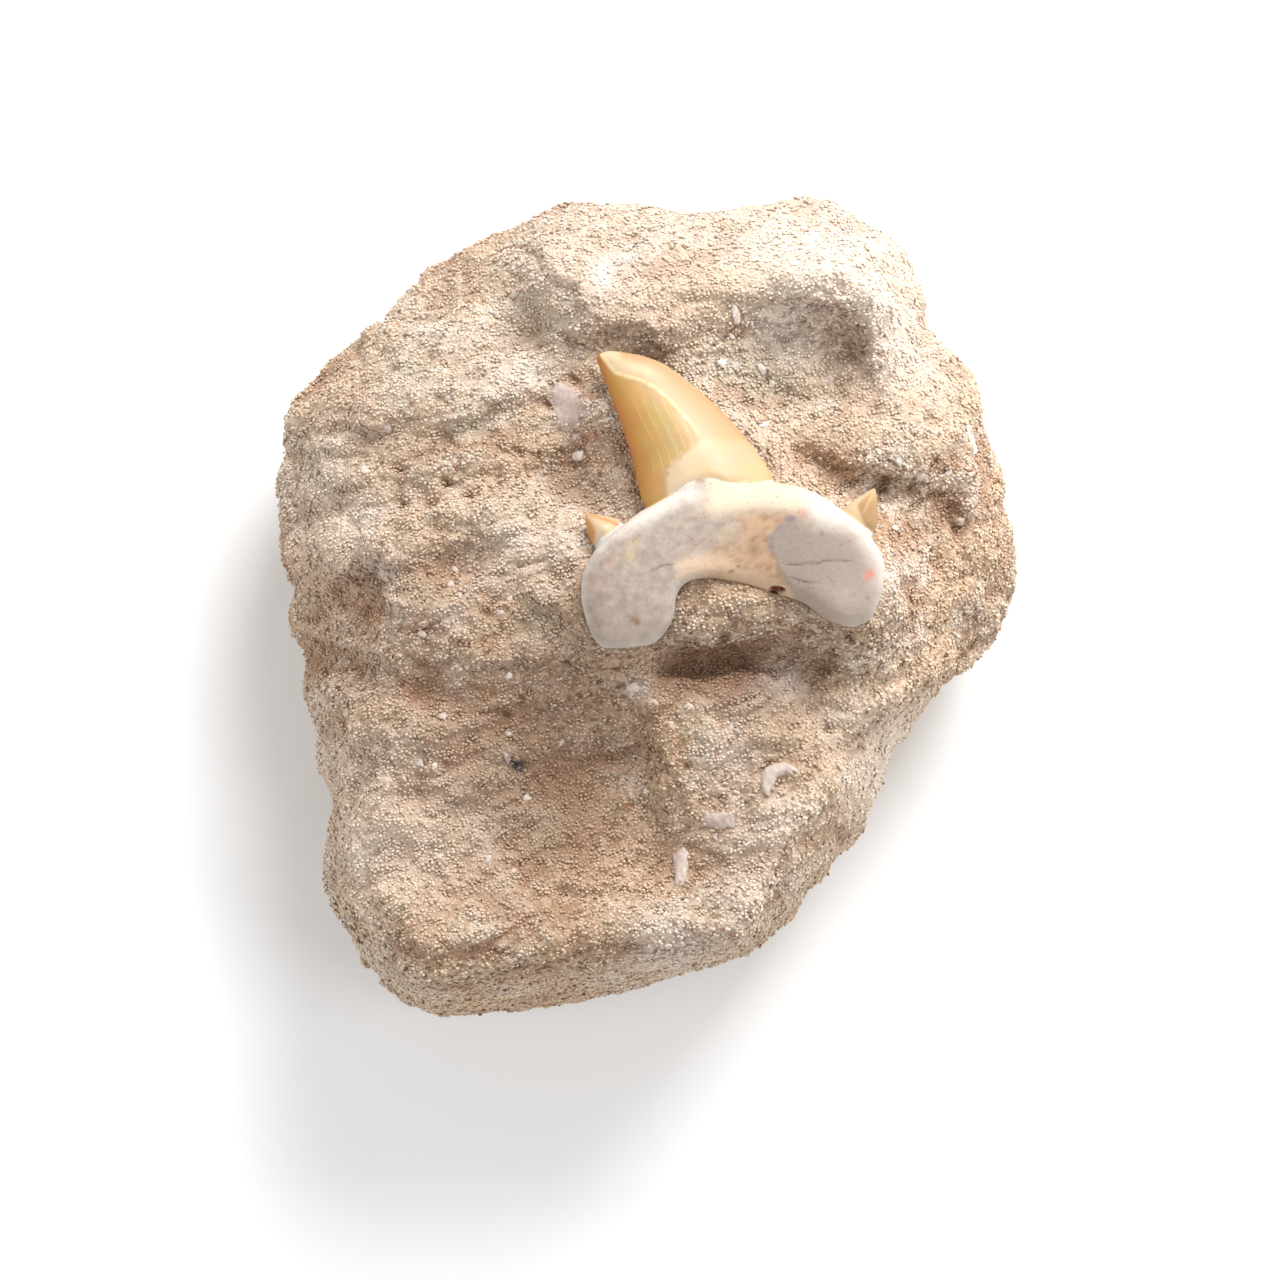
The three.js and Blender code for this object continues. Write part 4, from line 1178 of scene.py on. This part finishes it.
def growGrains(name, share):  # one share of the grains, scattered over the stone and made a mesh
    group = bpy.data.node_groups.new(name, "GeometryNodeTree")
    group.interface.new_socket("Geometry", in_out="INPUT", socket_type="NodeSocketGeometry")
    group.interface.new_socket("Geometry", in_out="OUTPUT", socket_type="NodeSocketGeometry")
    surface = addNode(group, "NodeGroupInput").outputs[0]
    cover = addNode(
        group, "GeometryNodeInputNamedAttribute", {"data_type": "FLOAT", "Name": "cover"}
    )
    scatter = addNode(
        group, "GeometryNodeDistributePointsOnFaces", {"distribute_method": "POISSON"},
        {"Mesh": surface},
    )
    scatter.inputs["Distance Min"].default_value = grainLook["spacing"] * mm
    scatter.inputs["Density Max"].default_value = grainLook["density"] / mm**2
    scatter.inputs["Seed"].default_value = 7
    group.links.new(cover.outputs[0], scatter.inputs["Density Factor"])
    clumps = addNode(
        group, "ShaderNodeTexNoise", {"Scale": 1 / (grainLook["clumpSize"] * mm), "Detail": 1.0}
    )
    sink, rise = grainLook["lift"]
    lift = addNode(
        group, "ShaderNodeMapRange",
        {"From Min": 0.34, "From Max": 0.66, "To Min": sink * mm, "To Max": rise * mm},
        {"Value": clumps.outputs["Fac"]},
    )
    # painted shade: grains sunk between the raised clumps are painted browner
    sunkShade = addNode(
        group, "ShaderNodeMapRange", {"From Min": 0.44, "From Max": 0.34},
        {"Value": clumps.outputs["Fac"]},
    )
    offset = addNode(
        group, "ShaderNodeVectorMath", {"operation": "SCALE"},
        {0: scatter.outputs["Normal"], "Scale": lift.outputs[0]},
    )
    noted = addNode(
        group, "GeometryNodeStoreNamedAttribute", {"domain": "POINT", "Name": "sunkShade"},
        {"Geometry": scatter.outputs["Points"], "Value": sunkShade.outputs[0]},
    )
    lifted = addNode(
        group, "GeometryNodeSetPosition",
        links={"Geometry": noted.outputs[0], "Offset": offset.outputs[0]},
    )
    index = addNode(group, "GeometryNodeInputIndex")
    remainder = addNode(
        group, "FunctionNodeIntegerMath", {"operation": "MODULO", 1: grainLook["pieces"]},
        {0: index.outputs[0]},
    )
    chosen = addNode(
        group, "FunctionNodeCompare", {"data_type": "INT", "operation": "EQUAL", 3: share},
        {2: remainder.outputs[0]},
    )
    pebble = addNode(
        group, "GeometryNodeMeshCone",
        {"Vertices": 5, "Radius Top": 0.62 * mm, "Radius Bottom": mm, "Depth": 1.5 * mm},
    )
    least, most = grainLook["radius"]
    size = addNode(
        group, "FunctionNodeRandomValue",
        {
            "data_type": "FLOAT_VECTOR", "Seed": 11,
            "Min": (least * grainLook["stretch"], least, least * grainLook["flatness"]),
            "Max": (most * grainLook["stretch"], most, most * grainLook["flatness"]),
        },
    )
    turn = addNode(
        group, "FunctionNodeRandomValue",
        {
            "data_type": "FLOAT_VECTOR", "Seed": 12,
            "Min": (-0.4, -0.4, -0.7), "Max": (0.4, 0.4, 0.7),
        },
    )
    upright = addNode(
        group, "FunctionNodeAlignRotationToVector", {"axis": "Z"},
        {"Vector": scatter.outputs["Normal"]},
    )
    turned = addNode(
        group, "FunctionNodeRotateRotation", {"rotation_space": "LOCAL"},
        {0: upright.outputs[0], 1: turn.outputs["Value"]},
    )
    tone = addNode(group, "FunctionNodeRandomValue", {"Seed": 13})
    placed = addNode(
        group, "GeometryNodeInstanceOnPoints",
        links={
            "Points": lifted.outputs[0], "Selection": chosen.outputs[0],
            "Instance": pebble.outputs["Mesh"], "Rotation": turned.outputs[0],
            "Scale": size.outputs["Value"],
        },
    )
    toned = addNode(
        group, "GeometryNodeStoreNamedAttribute", {"domain": "INSTANCE", "Name": "tone"},
        {"Geometry": placed.outputs[0], "Value": tone.outputs[1]},
    )
    real = addNode(group, "GeometryNodeRealizeInstances", links={0: toned.outputs[0]})
    smooth = addNode(group, "GeometryNodeSetShadeSmooth", links={0: real.outputs[0]})
    addNode(group, "NodeGroupOutput", links={0: smooth.outputs[0]})
    piece = bpy.data.objects.new(name, sandyStone.data.copy())
    scene.collection.objects.link(piece)
    addModifier(piece, "NODES", node_group=group)
    applyModifiers(piece)
    piece.data.materials.clear()
    piece.data.materials.append(sand)
    return piece


for share in range(grainLook["pieces"]):
    grainPiece = growGrains("sandGrains" + "ABCDEFGH"[share], share)
    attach(grainPiece, "root")
    print(grainPiece.name, len(grainPiece.data.polygons), "faces")
